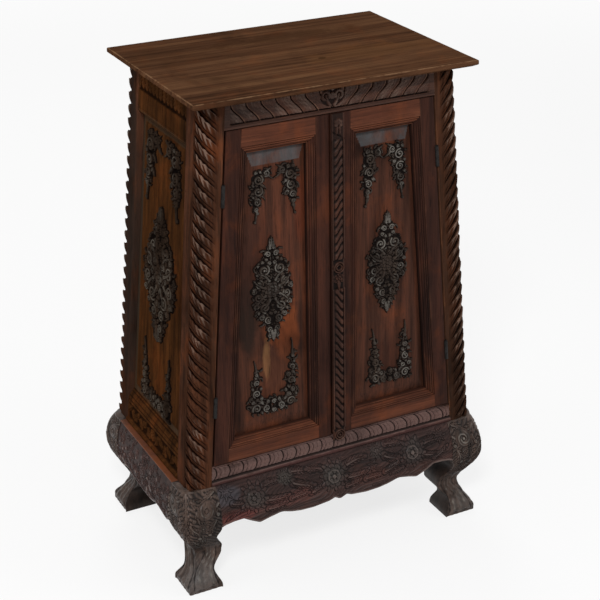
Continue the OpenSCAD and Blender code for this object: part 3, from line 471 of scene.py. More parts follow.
def carveStroke(field, u, v, path, wide, high, taper=0.6, vein=0.0, sag=0.0, notch=0.0, base=0.0, moat=0.0):
    # raises the field from base along a path, round across, its width falling by taper towards the end;
    # notch lobes its edges; moat is the width of a ditch cut down to base beside it
    reach = wide + 1 + moat
    part = block(u, v, path.min(0) - reach, path.max(0) + reach)
    if part is None:
        return
    uGrid, vGrid = np.meshgrid(u[part[0]], v[part[1]], indexing="ij")
    a, b = path[:-1], path[1:]
    d = b - a
    size = np.maximum((d ** 2).sum(1), 1e-9)
    awayU, awayV = uGrid[..., None] - a[:, 0], vGrid[..., None] - a[:, 1]
    t = np.clip((awayU * d[:, 0] + awayV * d[:, 1]) / size, 0, 1)
    dist = np.hypot(awayU - t * d[:, 0], awayV - t * d[:, 1])
    along = (np.arange(len(a)) + t) / len(a)
    w = wide * (1 - taper * along)
    if notch:
        w = w * (1 - 0.35 * abs(np.sin(np.pi * along * notch)) ** 2)
    q = dist / w
    best = q.argmin(-1)[..., None]
    q = np.take_along_axis(q, best, -1)[..., 0]
    along = np.take_along_axis(along, best, -1)[..., 0]
    bump = base + (high - base) * np.sqrt(np.clip(1 - q * q, 0, 1)) ** 0.8 * (1 - sag * along)
    if vein:
        bump = bump - vein * groove(q, 0, 0.25)
    if moat:
        side = np.take_along_axis(w, best, -1)[..., 0]
        field[part] = np.where(q * side < side + moat, np.minimum(field[part], base), field[part])
    field[part] = np.where(q < 1, np.maximum(field[part], bump), field[part])


def carveDisc(field, u, v, x, y, radius, high, base=0.0, hollow=0.0, moat=0.0):
    # a domed boss that starts at height base; hollow sinks its middle; moat is a ditch round it
    reach = radius + moat
    part = block(u, v, (x - reach, y - reach), (x + reach, y + reach))
    if part is None:
        return
    uGrid, vGrid = np.meshgrid(u[part[0]] - x, v[part[1]] - y, indexing="ij")
    q = np.hypot(uGrid, vGrid) / radius
    bump = base + (high - base) * np.clip(1 - q ** 3, 0, 1) ** 0.5 - hollow * groove(q, 0, 0.45)
    if moat:
        field[part] = np.where(q * radius < reach, np.minimum(field[part], base), field[part])
    field[part] = np.where(q < 1, np.maximum(field[part], bump), field[part])


def carveRing(field, u, v, x, y, radius, thick, high, base=0.0):  # a round ridge
    part = block(u, v, (x - radius - thick, y - radius - thick), (x + radius + thick, y + radius + thick))
    if part is None:
        return
    uGrid, vGrid = np.meshgrid(u[part[0]] - x, v[part[1]] - y, indexing="ij")
    q = abs(np.hypot(uGrid, vGrid) - radius) / thick
    bump = base + (high - base) * np.clip(1 - q * q, 0, 1) ** 0.5
    field[part] = np.where(q < 1, np.maximum(field[part], bump), field[part])


def carveFlower(field, u, v, x, y, radius, high, base, petals=8, turn=0.0):
    # open flower: a ring of cupped petals, a smaller ring that stands between them, and a dotted button
    sink = high - base
    carveDisc(field, u, v, x, y, radius * 0.86, base + sink * 0.30, base)
    for count, far, size, up, shift in ((petals, 0.70, 0.31, 0.72, 0.0),
                                        (petals - 2, 0.38, 0.22, 0.92, 0.5)):
        for k in range(count):
            angle = turn + (k + shift) * 2 * np.pi / count
            carveDisc(field, u, v, x + far * radius * np.cos(angle), y + far * radius * np.sin(angle),
                      radius * size * 8 / max(6, count), base + sink * up, base + sink * 0.05, sink * 0.42,
                      radius * 0.045)
    carveDisc(field, u, v, x, y, radius * 0.20, high, base, sink * 0.15, radius * 0.05)


def carveLeaf(field, u, v, x, y, heading, length, wide, high, base, bend=0.0, lobes=4, spread=1.9):
    # a leaf: a midrib with a groove, and pointed lobes that leave it on both sides, shorter to the tip
    mid = curl(x, y, heading, length, bend)
    sink = high - base
    for k in range(lobes):
        t = (k + 0.35) / (lobes + 0.2)
        px, py = mid[int(t * (len(mid) - 1))]
        angle = heading + bend * length * t
        reach = wide * spread * (1 - 0.6 * t)
        for side in (-1, 1):
            lobe = curl(px, py, angle + side * 42, reach, -side * 2.0, 0.0, 8)
            carveStroke(field, u, v, lobe, wide * 0.52, base + sink * 0.85, 0.7, sink * 0.22,
                        base=base, moat=wide * 0.13)
    carveStroke(field, u, v, mid, wide * 0.30, high, 0.7, sink * 0.25, base=base, moat=wide * 0.08)


def carveScroll(field, u, v, x, y, radius, high, turn, hand):
    # a round scroll: lobed ground, a ridge that winds inwards with falling radius, and a knob in the middle
    carveDisc(field, u, v, x, y, radius + 0.4, high * 0.22, high * 0.14, moat=0.5)
    for k in range(5):
        angle = turn + hand * (0.2 + 0.85 * k)
        carveDisc(field, u, v, x + 0.93 * radius * np.cos(angle), y + 0.93 * radius * np.sin(angle),
                  radius * 0.27, high * 0.66, high * 0.14)
    s = np.linspace(0, 1, 22)
    angle = turn + hand * 2 * np.pi * 1.2 * s
    far = radius * (0.80 - 0.46 * s ** 0.9)
    path = np.stack([x + far * np.cos(angle), y + far * np.sin(angle)], 1)
    carveStroke(field, u, v, path, 0.8 + radius * 0.11, high * 0.95, 0.30, base=high * 0.14, moat=0.6)
    carveDisc(field, u, v, x, y, max(1.3, radius * 0.24), high, high * 0.2)


def scrollWork(field, u, v, inside, box, sizes, fixed, seed, high, mirrored):
    # fills an outline: short curls on the ground, then round scrolls, large ones first, where there is room;
    # inside(x, y) is the distance to the outline's edge, fixed holds scrolls that have their places already
    rng = np.random.default_rng(seed)
    area = (box[1][0] - box[0][0]) * (box[1][1] - box[0][1])
    spots = rng.uniform(box[0], box[1], (int(area / 26), 2))
    spots = spots[inside(spots[:, 0], spots[:, 1]) > 1.2]
    for x, y in spots[(spots[:, 0] > 0) | (not mirrored)]:
        heading, bend = rng.uniform(0, 360), rng.choice([-1, 1]) * rng.uniform(7, 13)
        for side in (1, -1) if mirrored else (1,):
            length = rng.uniform(8, 13)
            path = curl(side * x, y, heading if side > 0 else 180 - heading, length, side * bend, 0.0, 10)
            carveStroke(field, u, v, path, 1.9, high * 0.78, 0.45, base=high * 0.12, moat=0.7)
    placed = [tuple(row) for row in fixed]
    for radius in sizes:
        spots = rng.uniform(box[0], box[1], (420, 2))
        depth = inside(spots[:, 0], spots[:, 1])
        for x, y in spots[depth > radius * 0.45]:
            if mirrored and abs(x) < radius * 0.8:
                continue
            known = np.array(placed)
            if len(known):
                apart = np.hypot(known[:, 0] - x, known[:, 1] - y)
                if (apart < 0.90 * (known[:, 2] + radius)).any():
                    continue
            placed.append((x, y, radius))
            if mirrored:
                placed.append((-x, y, radius))
    for x, y, radius in sorted(placed, key=lambda row: row[2]):
        hand = 1 if x > 0 else -1
        lean = np.sin(y * 0.31 + abs(x) * 0.17) * 2.4
        turn = lean if x > 0 else np.pi - lean
        up = high * (0.80 + 0.20 * min(1, radius / sizes[0]))
        carveScroll(field, u, v, x, y, radius, up, turn, hand)


def capsules(rows):
    # an outline from tapering bars x0, y0, r0, x1, y1, r1: gives the distance inside their union
    rows = np.array(rows, float)

    def inside(x, y):
        a, b = rows[:, None, 0:2], rows[:, None, 3:5]
        p = np.stack([x, y], -1)[None]
        d = b - a
        t = np.clip(((p - a) * d).sum(-1) / np.maximum((d * d).sum(-1), 1e-6), 0, 1)
        far = np.hypot(*np.moveaxis(p - a - t[..., None] * d, -1, 0))
        return (rows[:, None, 2] * (1 - t) + rows[:, None, 5] * t - far).max(0)
    return inside


def carvedPlate(name, u, v, field, place, body, finish="carvedTeak", floor=-0.3, top=5.9):
    # an openwork ornament: kept where the field is above its floor, and closed behind by a flat copy
    field = np.minimum(field, top)
    low = field < 0.05
    field = np.where(low, floor, field)
    keep = ~(low[:-1, :-1] & low[1:, :-1] & low[:-1, 1:] & low[1:, 1:])
    n, m = field.shape
    quads = gridQuads(n, m)[keep.ravel()]
    count = np.zeros(n * m, int)
    np.add.at(count, quads.ravel(), 1)
    edge = (count > 0) & (count < 4)
    field = np.where(edge.reshape(n, m), floor, field)
    uGrid, vGrid = np.meshgrid(u, v, indexing="ij")
    front = place(uGrid, vGrid, field).reshape(-1, 3)
    back = place(uGrid, vGrid, np.full_like(field, floor)).reshape(-1, 3)
    used = np.where(count > 0)[0]
    number = np.full(n * m, -1)
    number[used] = np.arange(len(used))
    inner = used[~edge[used]]
    behind = number.copy()
    behind[inner] = len(used) + np.arange(len(inner))
    points = np.concatenate([front[used], back[inner]])
    relief = np.concatenate([np.clip(field.ravel()[used] / top, 0, 1), np.zeros(len(inner))])
    faces = np.concatenate([number[quads], behind[quads][:, ::-1]])
    return buildMesh(name, points, faces, finish, body, relief=relief, sharp=80)


# top board
topBoard = {
    "width": 523.0, "depth": 366.0, "wobble": 0.45, "seed": 3,
    # inset, height and wear of the rings from the lower chamfer up to the face
    "levels": [(9.0, 888.0, 0.0), (8.0, 888.0, 0.0), (0.9, 891.8, 0.1), (0.3, 892.8, 0.35),
               (0.3, 894.4, 0.1), (0.3, 897.4, 0.1), (0.5, 898.6, 0.6), (0.9, 899.3, 1.0),
               (1.8, 899.9, 0.9), (3.2, 900.0, 0.35), (12.0, 900.0, 0.0)],
}


def makeTopBoard():
    # outline rings of a rectangle with slightly uneven edges, stacked from the chamfer up to the face
    rng = np.random.default_rng(topBoard["seed"])
    hx, hy = topBoard["width"] / 2, topBoard["depth"] / 2
    t = bothEnds(-1, 1, 0.0125)[:-1]
    outline = np.concatenate([np.stack([t * hx, np.full_like(t, -hy)], 1),
                              np.stack([np.full_like(t, hx), t * hy], 1),
                              np.stack([-t * hx, np.full_like(t, hy)], 1),
                              np.stack([np.full_like(t, -hx), -t * hy], 1)])
    count = len(outline)
    shake = abs(np.convolve(np.tile(rng.normal(0, 1, count), 3), np.ones(9) / 9, "same")[count:-count])
    onEdge = abs(outline) > np.array([hx - 0.1, hy - 0.1])
    rings, wear = [], []
    for inset, z, wornAndLit in topBoard["levels"]:
        ring = outline * np.array([(hx - inset) / hx, (hy - inset) / hy])
        pull = topBoard["wobble"] * (wornAndLit > 0) * shake[:, None] * np.sign(outline) * onEdge
        rings.append(np.concatenate([ring - pull, np.full((count, 1), z)], 1))
        wear.append(wornAndLit * (0.55 + 0.8 * shake))
    post("topBoardWorn", np.array(rings), "tabletop", "case", ["top_board"], None,
         np.clip(wear, 0, 1), 40)


makeTopBoard()
print("top board made")


# corner posts: leaves lie across the rounded corner, their thick ends stand out and point up
leafBand = {
    "round": 14.0, "front": 33.0, "side": 21.0, "inside": 8.5, "rise": 42.0, "pitch": 23.5, "first": 184.44,
    "tip": 4.0, "proud": 1.2, "leaves": 32, "lobe": 8.4, "ribDeep": 0.9, "veinDeep": 1.0, "plain": 0.66,
    "seed": 4,
    # heights of a leaf's rings over its foot
    "steps": [0, 1.2, 3.2, 5.2, 7.2, 9.0, 10.4, 11.8, 13.4, 15.2, 17.0, 18.8, 20.6, 22.2],
    # plan of the plain parts beside the band, from the post's outer faces: door side, then panel side
    "doorEdge": [(43.0, 26.0), (43.0, 0.6), (42.4, 0.0), (39.0, 0.0), (35.5, 0.0)],
    "panelEdge": [(0.0, 23.5), (0.0, 30.0), (0.0, 40.0), (0.0, 51.0), (0.6, 52.0), (20.0, 52.0),
                  (43.0, 52.0)],
}


def leafColumns():
    # places across the band: floor point, distance along the floor from its middle, room out to the surface
    half = leafBand["inside"]
    front, side = np.hypot(leafBand["front"] - half, half), np.hypot(leafBand["side"] - half, half)
    d = np.concatenate([bothEnds(-front, 0, 0.95), bothEnds(0, side, 0.95)[1:]])
    f, s = np.clip(-d / front, 0, 1), np.clip(d / side, 0, 1)
    a = half + (leafBand["front"] - half) * f - half * s
    b = half + (leafBand["side"] - half) * s - half * f
    flat = np.minimum(a, b)
    r = leafBand["round"]
    p, q = a - r, b - r
    arc = (p + q + np.sqrt(np.maximum((p + q) ** 2 - 2 * (p * p + q * q - r * r), 0))) / 2
    room = np.where(np.maximum(a, b) - flat < r, arc, flat)
    return a, b, d, np.maximum(room, 0), leafBand["rise"] / (front + side)


def makePost(name, node, side, end):
    # rings follow the leaves: from a leaf's foot out along its long face to the tip, then in to the next
    a, b, d, room, climb = leafColumns()
    full = leafBand["inside"] - leafBand["round"] * (1 - np.sqrt(0.5))
    rng = np.random.default_rng(leafBand["seed"] + (2 if side > 0 else 0) + (1 if end > 0 else 0))
    openShare = room / full
    band, bandZ, bandRelief = [], [], []
    for k in range(leafBand["leaves"]):
        foot = leafBand["first"] + leafBand["pitch"] * k + climb * d
        lift = rng.uniform(0.90, 1.0) * (0.75 if rng.uniform() < 0.10 else 1.0)
        phase = rng.uniform(0, 1)
        lobeWide = leafBand["lobe"] * rng.uniform(0.75, 1.3)
        lobes = 0.5 - 0.5 * np.cos(2 * np.pi * (d / lobeWide + phase))
        tipUp = leafBand["tip"] * openShare * (0.35 + 0.65 * lobes)
        for z in leafBand["steps"]:
            swell = leafBand["proud"] * openShare * smooth(z, 8, 20)
            reach = room * (z / (leafBand["pitch"] + 0.5)) ** 0.7 + swell
            rib = 0.5 - 0.5 * np.cos(2 * np.pi * ((d - 0.30 * (z - 23.5)) / lobeWide + phase))
            vein = leafBand["veinDeep"] * groove(z, 9.0, 1.3)
            cut = leafBand["ribDeep"] * (1 - rib) * smooth(z, 8, 16) + vein
            cut = cut * smooth(openShare, 0.05, 0.4)
            band.append((np.maximum(reach - cut * smooth(z, 2, 8), 0)) * (lift if z > 4 else 1))
            bandZ.append(foot + z)
            # just above each leaf's tip, in its undercut, the relief drops and the wood is darkened as
            # painted shade
            under = groove(z, 0.4, 2.0) * smooth(openShare, 0.1, 0.5)
            bandRelief.append(0.55 + 0.40 * smooth(z, 4, 20) - 0.55 * under - 0.50 * cut)
        band.append(room * lift * (0.88 + 0.12 * lobes) + leafBand["proud"] * openShare)
        bandZ.append(foot + 22.9 + 0.6 * openShare + tipUp)
        bandRelief.append(np.full_like(d, 1.0))
        band.append(room * 0.4 * lift)
        bandZ.append(foot + 23.2 + 0.5 * tipUp)
        bandRelief.append(0.62 - 0.45 * openShare)
    band, bandZ, bandRelief = np.array(band), np.array(bandZ), np.clip(bandRelief, 0, 1)
    # columns: the door side, the band, and the panel side with the hidden faces
    before, after = np.array(leafBand["doorEdge"]), np.array(leafBand["panelEdge"])
    one = np.ones((len(band), 1))
    insetX = np.concatenate([one * before[:, 0], a - band, one * after[:, 0]], 1)
    insetY = np.concatenate([one * before[:, 1], b - band, one * after[:, 1]], 1)
    z = np.concatenate([bandZ[:, :1] * np.ones(len(before)), bandZ, bandZ[:, -1:] * np.ones(len(after))], 1)
    flat = leafBand["plain"]
    relief = np.concatenate([flat * one * np.ones(len(before)), bandRelief * (flat + (1 - flat) * openShare),
                             flat * one * np.ones(len(after))], 1)
    # past the ends of the post the rings close to the uncut outline, flat at the end
    low, high = cabinet["standTop"], cabinet["boardUnder"]
    inside = (z > low) & (z < high)
    insetX = np.where(inside, insetX, np.concatenate([before[:, 0], a, after[:, 0]]))
    insetY = np.where(inside, insetY, np.concatenate([before[:, 1], b, after[:, 1]]))
    z = np.clip(z, low, high)
    rings = np.stack([side * (caseX(z) - insetX), end * (caseY(z) - insetY), z], -1)
    wear = np.zeros(relief.shape)
    wear[:, 1:3] = 0.5
    post(name, rings, "postTeak", "case", [node], relief, wear, 60, True)


for side, end, tag, place in caseCorners:
    makePost("leafPost" + tag, "post_" + place, side, end)
print("corner posts made")


# front frieze and foot rail
def frontRail(name, node, low, high, carve, step=0.95):
    z = bothEnds(low, high, step)
    half = caseX(z) - cabinet["postFront"]
    t = bothEnds(-1, 1, step / half.max())
    tGrid, zGrid = np.meshgrid(t, z, indexing="ij")
    xGrid = tGrid * half[None]
    field, relief, wear = carve(xGrid, zGrid)
    back = onFront(xGrid, zGrid, np.full_like(xGrid, -cabinet["frontRailThick"]))
    board(name, onFront(xGrid, zGrid, field), back, "friezeTeak", "case", [node],
          relief, wear, 75)


# heights and pitch of the leaves, depth of their ground, and the field and size of the motif in the middle
frieze = {
    "low": 846.0, "high": 886.0, "pitch": 26.5, "sweep": 21.0, "deep": 4.0, "hatch": 0.30, "end": 10.0,
    "motifZ": 866.5, "motifRound": 16.5, "motifWide": 1.35, "motifDeep": 3.4,
}


def curledLeaves(x, v, pitch, sweep):
    # leaves side by side, each over the next along an S-shaped gap that sweeps out towards its foot
    bend = sweep * (1 - v) ** 2.2 + 3.2 * np.sin(2 * np.pi * v)
    p = (x - bend) / pitch
    f = p - np.floor(p)
    leaf = 0.62 + 0.38 * smooth(f, 0.0, 0.60)
    leaf = leaf * smooth(f, 0.0, 0.035) * (1 - smooth(f, 0.91, 0.985))
    leaf = leaf * smooth(v, 0.02, 0.08) * (1 - smooth(v, 0.93, 0.99))
    veins = groove(f, 0.24, 0.03) + groove(f, 0.46, 0.04) + groove(f, 0.70, 0.03)
    notches = 0.5 + 0.5 * np.cos(2 * np.pi * (4.0 * v + 1.4 * f))
    return leaf - 0.16 * veins - 0.16 * notches ** 4 * smooth(f, 0.1, 0.5), f


def carveFrieze(x, z):
    v = (z - frieze["low"]) / (frieze["high"] - frieze["low"])
    inBand = (v > 0) & (v < 1) & (abs(x) < caseX(z) - cabinet["postFront"] - frieze["end"])
    vv = np.clip(v, 0, 1)
    leaf, f = curledLeaves(np.where(x < 0, x, -x) - 6.0, vv, frieze["pitch"], frieze["sweep"])
    hatch = frieze["hatch"] * np.sin(2 * np.pi * (x / 2.9 + 0.25 * np.sin(z * 0.5)))
    field = -frieze["deep"] + frieze["deep"] * np.clip(leaf, 0, 1) + hatch * (leaf > 0.4) - 0.3
    # lighter marks beside each gap between leaves: a painted highlight, partly edge wear
    edgeWearAndHighlight = groove(f, 0.07, 0.05) + 0.7 * groove(f, 0.90, 0.03)
    u, w = x[:, 0], z[0]
    motif = np.full_like(field, -9.0)
    for side in (-1, 1):
        carveRing(motif, u, w, side * 12.5, 869.0, 6.5, 2.6, 0.4, -3.0)
        carveDisc(motif, u, w, side * 12.0, 868.5, 2.6, 0.2, -2.0)
        stem = curl(side * 4, 852, 90 - side * 35, 20, side * 1.2)
        carveStroke(motif, u, w, stem, 2.6, 0.4, 0.5, base=-3.0, moat=0.6)
    carveDisc(motif, u, w, 0.0, 868.0, 6.0, 0.6, -1.6)
    carveDisc(motif, u, w, 0.0, 880.0, 3.4, 0.4, -1.6)
    around = np.hypot(x / frieze["motifWide"], z - frieze["motifZ"]) < frieze["motifRound"]
    field = np.where(around, np.maximum(-frieze["motifDeep"], motif), field)
    field = np.where(inBand, field, 0.0)
    # a groove under the leaves, its lower relief darkened as painted shade
    line = groove(v, -0.05, 0.03)
    relief = np.where(inBand, np.clip((field + frieze["deep"]) / frieze["deep"], 0, 1), 0.66 - 0.4 * line)
    wear = np.where(inBand & ~around, 0.85 * np.clip(edgeWearAndHighlight, 0, 1), 0.3)
    return np.minimum(field, 0.4) - 0.6 * line * (v < 0), relief, wear


footRail = {
    "low": 213.0, "high": 238.5, "pitch": 26.0, "deep": 3.2, "bead": 207.5, "beadRound": 4.5,
    "beadTop": 212.2,
}


def footBead(z):  # the round bead along the foot of the case
    arc = np.sqrt(np.clip(footRail["beadRound"] ** 2 - (z - footRail["bead"]) ** 2, 0, None))
    return np.maximum(arc - 1.5, -1.2)


def carveFootRail(x, z):
    # overlapping round scales: each is bounded on its right by an arc that bulges over the next one
    v = (z - footRail["low"]) / (footRail["high"] - footRail["low"])
    vv = np.clip(v, 0, 1)
    arc = 10.0 * np.sqrt(np.clip(1 - (2 * vv - 1) ** 2, 0, 1)) - 13.0 * vv * smooth(x, -40, 60)
    p = (x - arc) / footRail["pitch"] + 0.35
    f = p - np.floor(p)
    scale = (0.72 + 0.28 * smooth(f, 0.0, 0.55)) * smooth(f, 0.0, 0.04) * (1 - smooth(f, 0.90, 0.98))
    scale = scale - 0.42 * groove(f, 0.30, 0.045) - 0.36 * groove(f, 0.60, 0.045)
    scale = scale * (0.86 + 0.14 * np.sin(x * 0.9 + 2.0 * np.sin(z * 0.6)))
    scale = scale * smooth(v, 0.0, 0.08) * (1 - smooth(v, 0.93, 1.0))
    hatch = 0.25 * np.sin(2 * np.pi * (x / 2.7 + z / 7.0))
    deep = footRail["deep"]
    field = -deep + (deep - 0.2) * np.clip(scale, 0, 1) + hatch * (scale > 0.4) - 0.25
    field = np.where((v < 0) | (v > 1), 0.0, field)
    onBead = z < footRail["beadTop"]
    field = np.where(onBead, footBead(z), field)
    relief = np.where((v > 1) | onBead, 0.55, 0.92 * np.clip((field + deep) / deep, 0, 1))
    # a dark line in the crease above the bead, as painted shade
    relief = np.where(abs(z - 212.4) < 0.9, 0.15, relief)
    return field, relief, np.where(onBead, 0.3, 0.0)


frontRail("leafFrieze", "frieze_front", cabinet["friezeLow"], cabinet["boardUnder"], carveFrieze)
frontRail("scaleFootRail", "foot_rail_front", cabinet["standTop"], cabinet["footRailHigh"], carveFootRail)
print("front rails made")


# sides
def sideBoard(name, node, low, high, carve, side, thick, step=1.1):
    z = bothEnds(low, high, step)
    half = caseY(z) - cabinet["postSide"]
    t = bothEnds(-1, 1, step / half.max())
    tGrid, zGrid = np.meshgrid(t, z, indexing="ij")
    yGrid = tGrid * half[None]
    field, relief, wear = carve(yGrid, zGrid)
    back = onSide(yGrid, zGrid, np.full_like(yGrid, -thick), side)
    board(name, onSide(yGrid, zGrid, field, side), back, "sideTeak", "case", [node],
          relief, wear, 75)


sideTop = {"low": 846.0, "high": 886.0, "pitch": 15.0, "deep": 3.6, "line": 811.5}


def carveSideTop(y, z):
    # upright leaves side by side with pointed feet, over a plain board with a light line at its lower edge
    v = (z - sideTop["low"]) / (sideTop["high"] - sideTop["low"])
    p = y / sideTop["pitch"]
    f = p - np.floor(p)
    off = abs(f - 0.5)
    leaf = (1 - 0.75 * smooth(off, 0.38, 0.48)) * (1 - 0.3 * off * 2) - 0.25 * groove(f, 0.5, 0.06)
    foot = 0.05 + 0.35 * off
    leaf = leaf * smooth(v - foot, 0.0, 0.08) * (1 - smooth(v, 0.88, 0.98))
    leaf = leaf - 0.14 * (0.5 + 0.5 * np.sin(2 * np.pi * (v * 6 + off * 2))) * (leaf > 0.3)
    field = np.where((v < 0) | (v > 1), 0.0, -sideTop["deep"] * (1 - np.clip(leaf, 0, 1)))
    line = 0.8 * groove(z, sideTop["line"], 1.0) - 0.9 * groove(z, sideTop["line"] + 3.5, 1.0)
    relief = np.where((v < 0) | (v > 1), 0.62 + 0.3 * line, np.clip(1 + field / sideTop["deep"], 0, 1))
    wear = np.where(abs(z - sideTop["line"]) < 1.5, 0.6, 0.0)
    return field + np.minimum(line, 0.6), np.clip(relief, 0, 1), wear


sideFoot = {
    "deep": 3.8, "seed": 21, "pitch": 18.0, "flower": (229.0, 12.0),
    # the moulded upper edge as pairs of height and depth, and where its grooves run, darkened as painted
    # shade
    "chamfer": [(244.0, -0.8), (245.2, 0.0), (247.4, 0.0), (248.4, -1.8), (250.0, -2.2), (251.2, -1.2),
                (254.5, -2.0), (255.6, -3.8), (258.0, -4.2), (262.0, -6.6), (263.0, -8.2), (265.4, -8.6),
                (266.4, -10.4), (269.0, -11.6)],
    "grooves": [(249.2, 1.0), (256.6, 1.0), (264.2, 1.1), (268.4, 1.0)],
}


def carveSideFoot(y, z):
    u, w = y[:, 0], z[0]
    field = np.full_like(y, -sideFoot["deep"])
    rng = np.random.default_rng(sideFoot["seed"])
    for k in np.arange(-6, 7):
        side = -1 if k < 0 else 1
        at, base = k * sideFoot["pitch"], -sideFoot["deep"] * 0.8
        foot, turn = (217.0, 38) if k % 2 else (239.0, 142)
        carveLeaf(field, u, w, at - side * 5, foot, 90 - side * turn, 20, 6.0, 0.0, base, side * 1.2, 4)
        carveDisc(field, u, w, at + 6 * side, 217.0 + rng.uniform(0, 18), 4.5, -0.4, -2.6, 0.8)
    carveFlower(field, u, w, 0.0, *sideFoot["flower"], 0.0, -3.4, 8)
    field = np.where(abs(y) > caseY(z) - cabinet["postSide"] - 3.0, -1.0, field)
    onBead = z < footRail["beadTop"]
    field = np.where(onBead, footBead(z), field)
    steps = np.array(sideFoot["chamfer"])
    onChamfer = z > steps[0, 0]
    field = np.where(onChamfer, np.interp(z, steps[:, 0], steps[:, 1]), field)
    relief = np.clip((field + sideFoot["deep"]) / sideFoot["deep"], 0, 1)
    # the grooves are darkened as painted shade
    dark = sum(groove(z, at, wide) for at, wide in sideFoot["grooves"])
    relief = np.where(onChamfer | onBead, np.clip(0.60 - 0.5 * dark, 0, 1), relief)
    return field, relief, np.where((z > 245) & (z < 248), 0.5, 0.0)


sidePanel = {
    "thick": 17.0, "grid": 1.7, "floor": 12.0, "top": 8.05, "bevel": 22.0, "lines": (4.0, 8.0, 12.0),
    "lineDeep": 0.7,
}


def carveSidePanel(y, z):
    # a raised field inside four bevels with fine lines at their feet
    half = caseY(z) - cabinet["postSide"]
    inside = np.minimum(half - abs(y), np.minimum(z - cabinet["sidePanelLow"], cabinet["sidePanelHigh"] - z))
    lines = sum(groove(inside, at, 0.9) for at in sidePanel["lines"])
    bevel = 2.4 * smooth(inside, 10.0, sidePanel["bevel"]) + 1.6 * np.clip(inside / sidePanel["bevel"], 0, 1)
    field = np.minimum(-sidePanel["floor"] + bevel - sidePanel["lineDeep"] * lines, -sidePanel["top"])
    # the fine lines and the border of the panel are darkened as painted shade
    relief = 0.62 - 0.34 * lines - 0.2 * groove(inside, 0.5, 1.6)
    return field, np.clip(relief, 0, 1), 0.9 * (1 - smooth(inside, 13, 20)) * (inside > 0)


for side, word in sides:
    tag = word.capitalize()
    low, high = cabinet["sidePanelLow"], cabinet["sidePanelHigh"]
    sideBoard("leafTopRail" + tag, "top_rail_" + word, high, cabinet["boardUnder"], carveSideTop, side,
              cabinet["sideRailThick"])
    sideBoard("carvedFootRail" + tag, "foot_rail_" + word, cabinet["standTop"], low, carveSideFoot, side,
              cabinet["sideRailThick"])
    sideBoard("raisedPanel" + tag, "side_panel_" + word, low, high, carveSidePanel, side,
              sidePanel["thick"], sidePanel["grid"])
print("sides made")


# openwork ornaments: height against half width, x, y and radius of the large scrolls, radii of those that
# fill the rest, and fronds as x, y, heading, length and bend per mm
medallion = {
    "width": 76.0, "height": 192.0, "grid": 0.78, "high": 5.6, "sizes": (6.2, 4.6, 3.4),
    "halfWidth": [(-96, 1), (-92, 6), (-84, 10), (-75, 13), (-62, 17), (-51, 22), (-38, 29), (-20, 36),
                  (-2, 38), (14, 36), (26, 32), (38, 29), (49, 27), (54, 17), (60, 15), (72, 13), (78, 7),
                  (84, 4), (96, 1)],
    "scrolls": [(14.5, 38, 12.0), (7.5, 66, 6.5), (24.0, 14, 10.0), (26.0, -9, 9.5), (9.0, 17, 6.5),
                (14.0, -30, 11.0), (9.5, -52, 8.5), (6.5, -70, 6.5)],
    "fronds": [(6, 18, 62, 26, -2.0), (13, 6, 20, 26, 1.5), (13, -8, -28, 24, -1.5), (5, -16, -70, 26, 2.0),
               (3, 76, 80, 16, 1.5), (3, -74, -84, 16, -1.5)],
    "middle": 14.5,
}
spray = {
    "width": 36.0, "height": 106.0, "grid": 0.78, "high": 5.5, "sizes": (5.0, 3.8, 2.9),
    # a head that leans inwards (+x) over a column that tapers to a hanging tail
    "bars": [(9, -10, 8.5, -4, -15, 10.5), (-4, -15, 12, -5, -42, 12), (-5, -42, 11, -8, -66, 9.5),
             (-8, -66, 8, -10, -84, 4.0)],
    "scrolls": [(-4.5, -21, 11.0), (9.5, -10, 7.5), (-5.5, -43, 10.5), (-8.0, -63, 8.5), (-9.5, -77, 5.0)],
    "fronds": [(-9, -82, -100, 20, 0.3), (12, -4, 20, 9, 2.0), (14, -16, -50, 12, 3.0),
               (3, -33, -30, 10, -4.0), (2, -54, -40, 9, -4.0)],
}
corner = {"grid": 0.8, "high": 5.5, "sizes": (5.4, 4.0, 3.0)}


def medallionField(width, height, seed, coarse=1.0):
    kx, ky = width / medallion["width"], height / medallion["height"]
    u = bothEnds(-43 * kx, 43 * kx, medallion["grid"] * coarse)
    v = bothEnds(-99 * ky, 99 * ky, medallion["grid"] * coarse)
    field = np.zeros((len(u), len(v)))
    k = np.sqrt(kx * ky)
    table = np.array(medallion["halfWidth"], float)
    high = medallion["high"]

    def inside(x, y):
        return (np.interp(y / ky, table[:, 0], table[:, 1]) * kx - abs(x)) * 0.9
    box = ((-38 * kx, -90 * ky), (38 * kx, 80 * ky))
    fixed = [(side * x * kx, y * ky, r * k) for x, y, r in medallion["scrolls"] for side in (-1, 1)]
    fixed.append((0.0, 0.0, 13.5 * k))
    uGrid, vGrid = np.meshgrid(u, v, indexing="ij")
    field = np.where(inside(uGrid, vGrid) > 4.0, high * 0.22, field)
    scrollWork(field, u, v, inside, box, [r * k for r in medallion["sizes"]], fixed, seed, high, True)
    carveFlower(field, u, v, 0.0, 0.0, medallion["middle"] * k, 5.9, 2.2, 8, 0.3)
    for side in (-1, 1):
        for x, y, heading, length, bend in medallion["fronds"]:
            turned = heading if side > 0 else 180 - heading
            path = curl(side * x * kx, y * ky, turned, length * k, side * bend / k)
            carveStroke(field, u, v, path, 3.0 * k, high, 0.6, 1.2, 0.1, 3, high * 0.2, 0.6)
    for heading, y in ((90, 80), (-90, -78)):
        carveStroke(field, u, v, curl(0, y * ky, heading, 16 * ky, 0), 2.8 * k, high * 0.95, 0.75, 0.8)
    return u, v, field


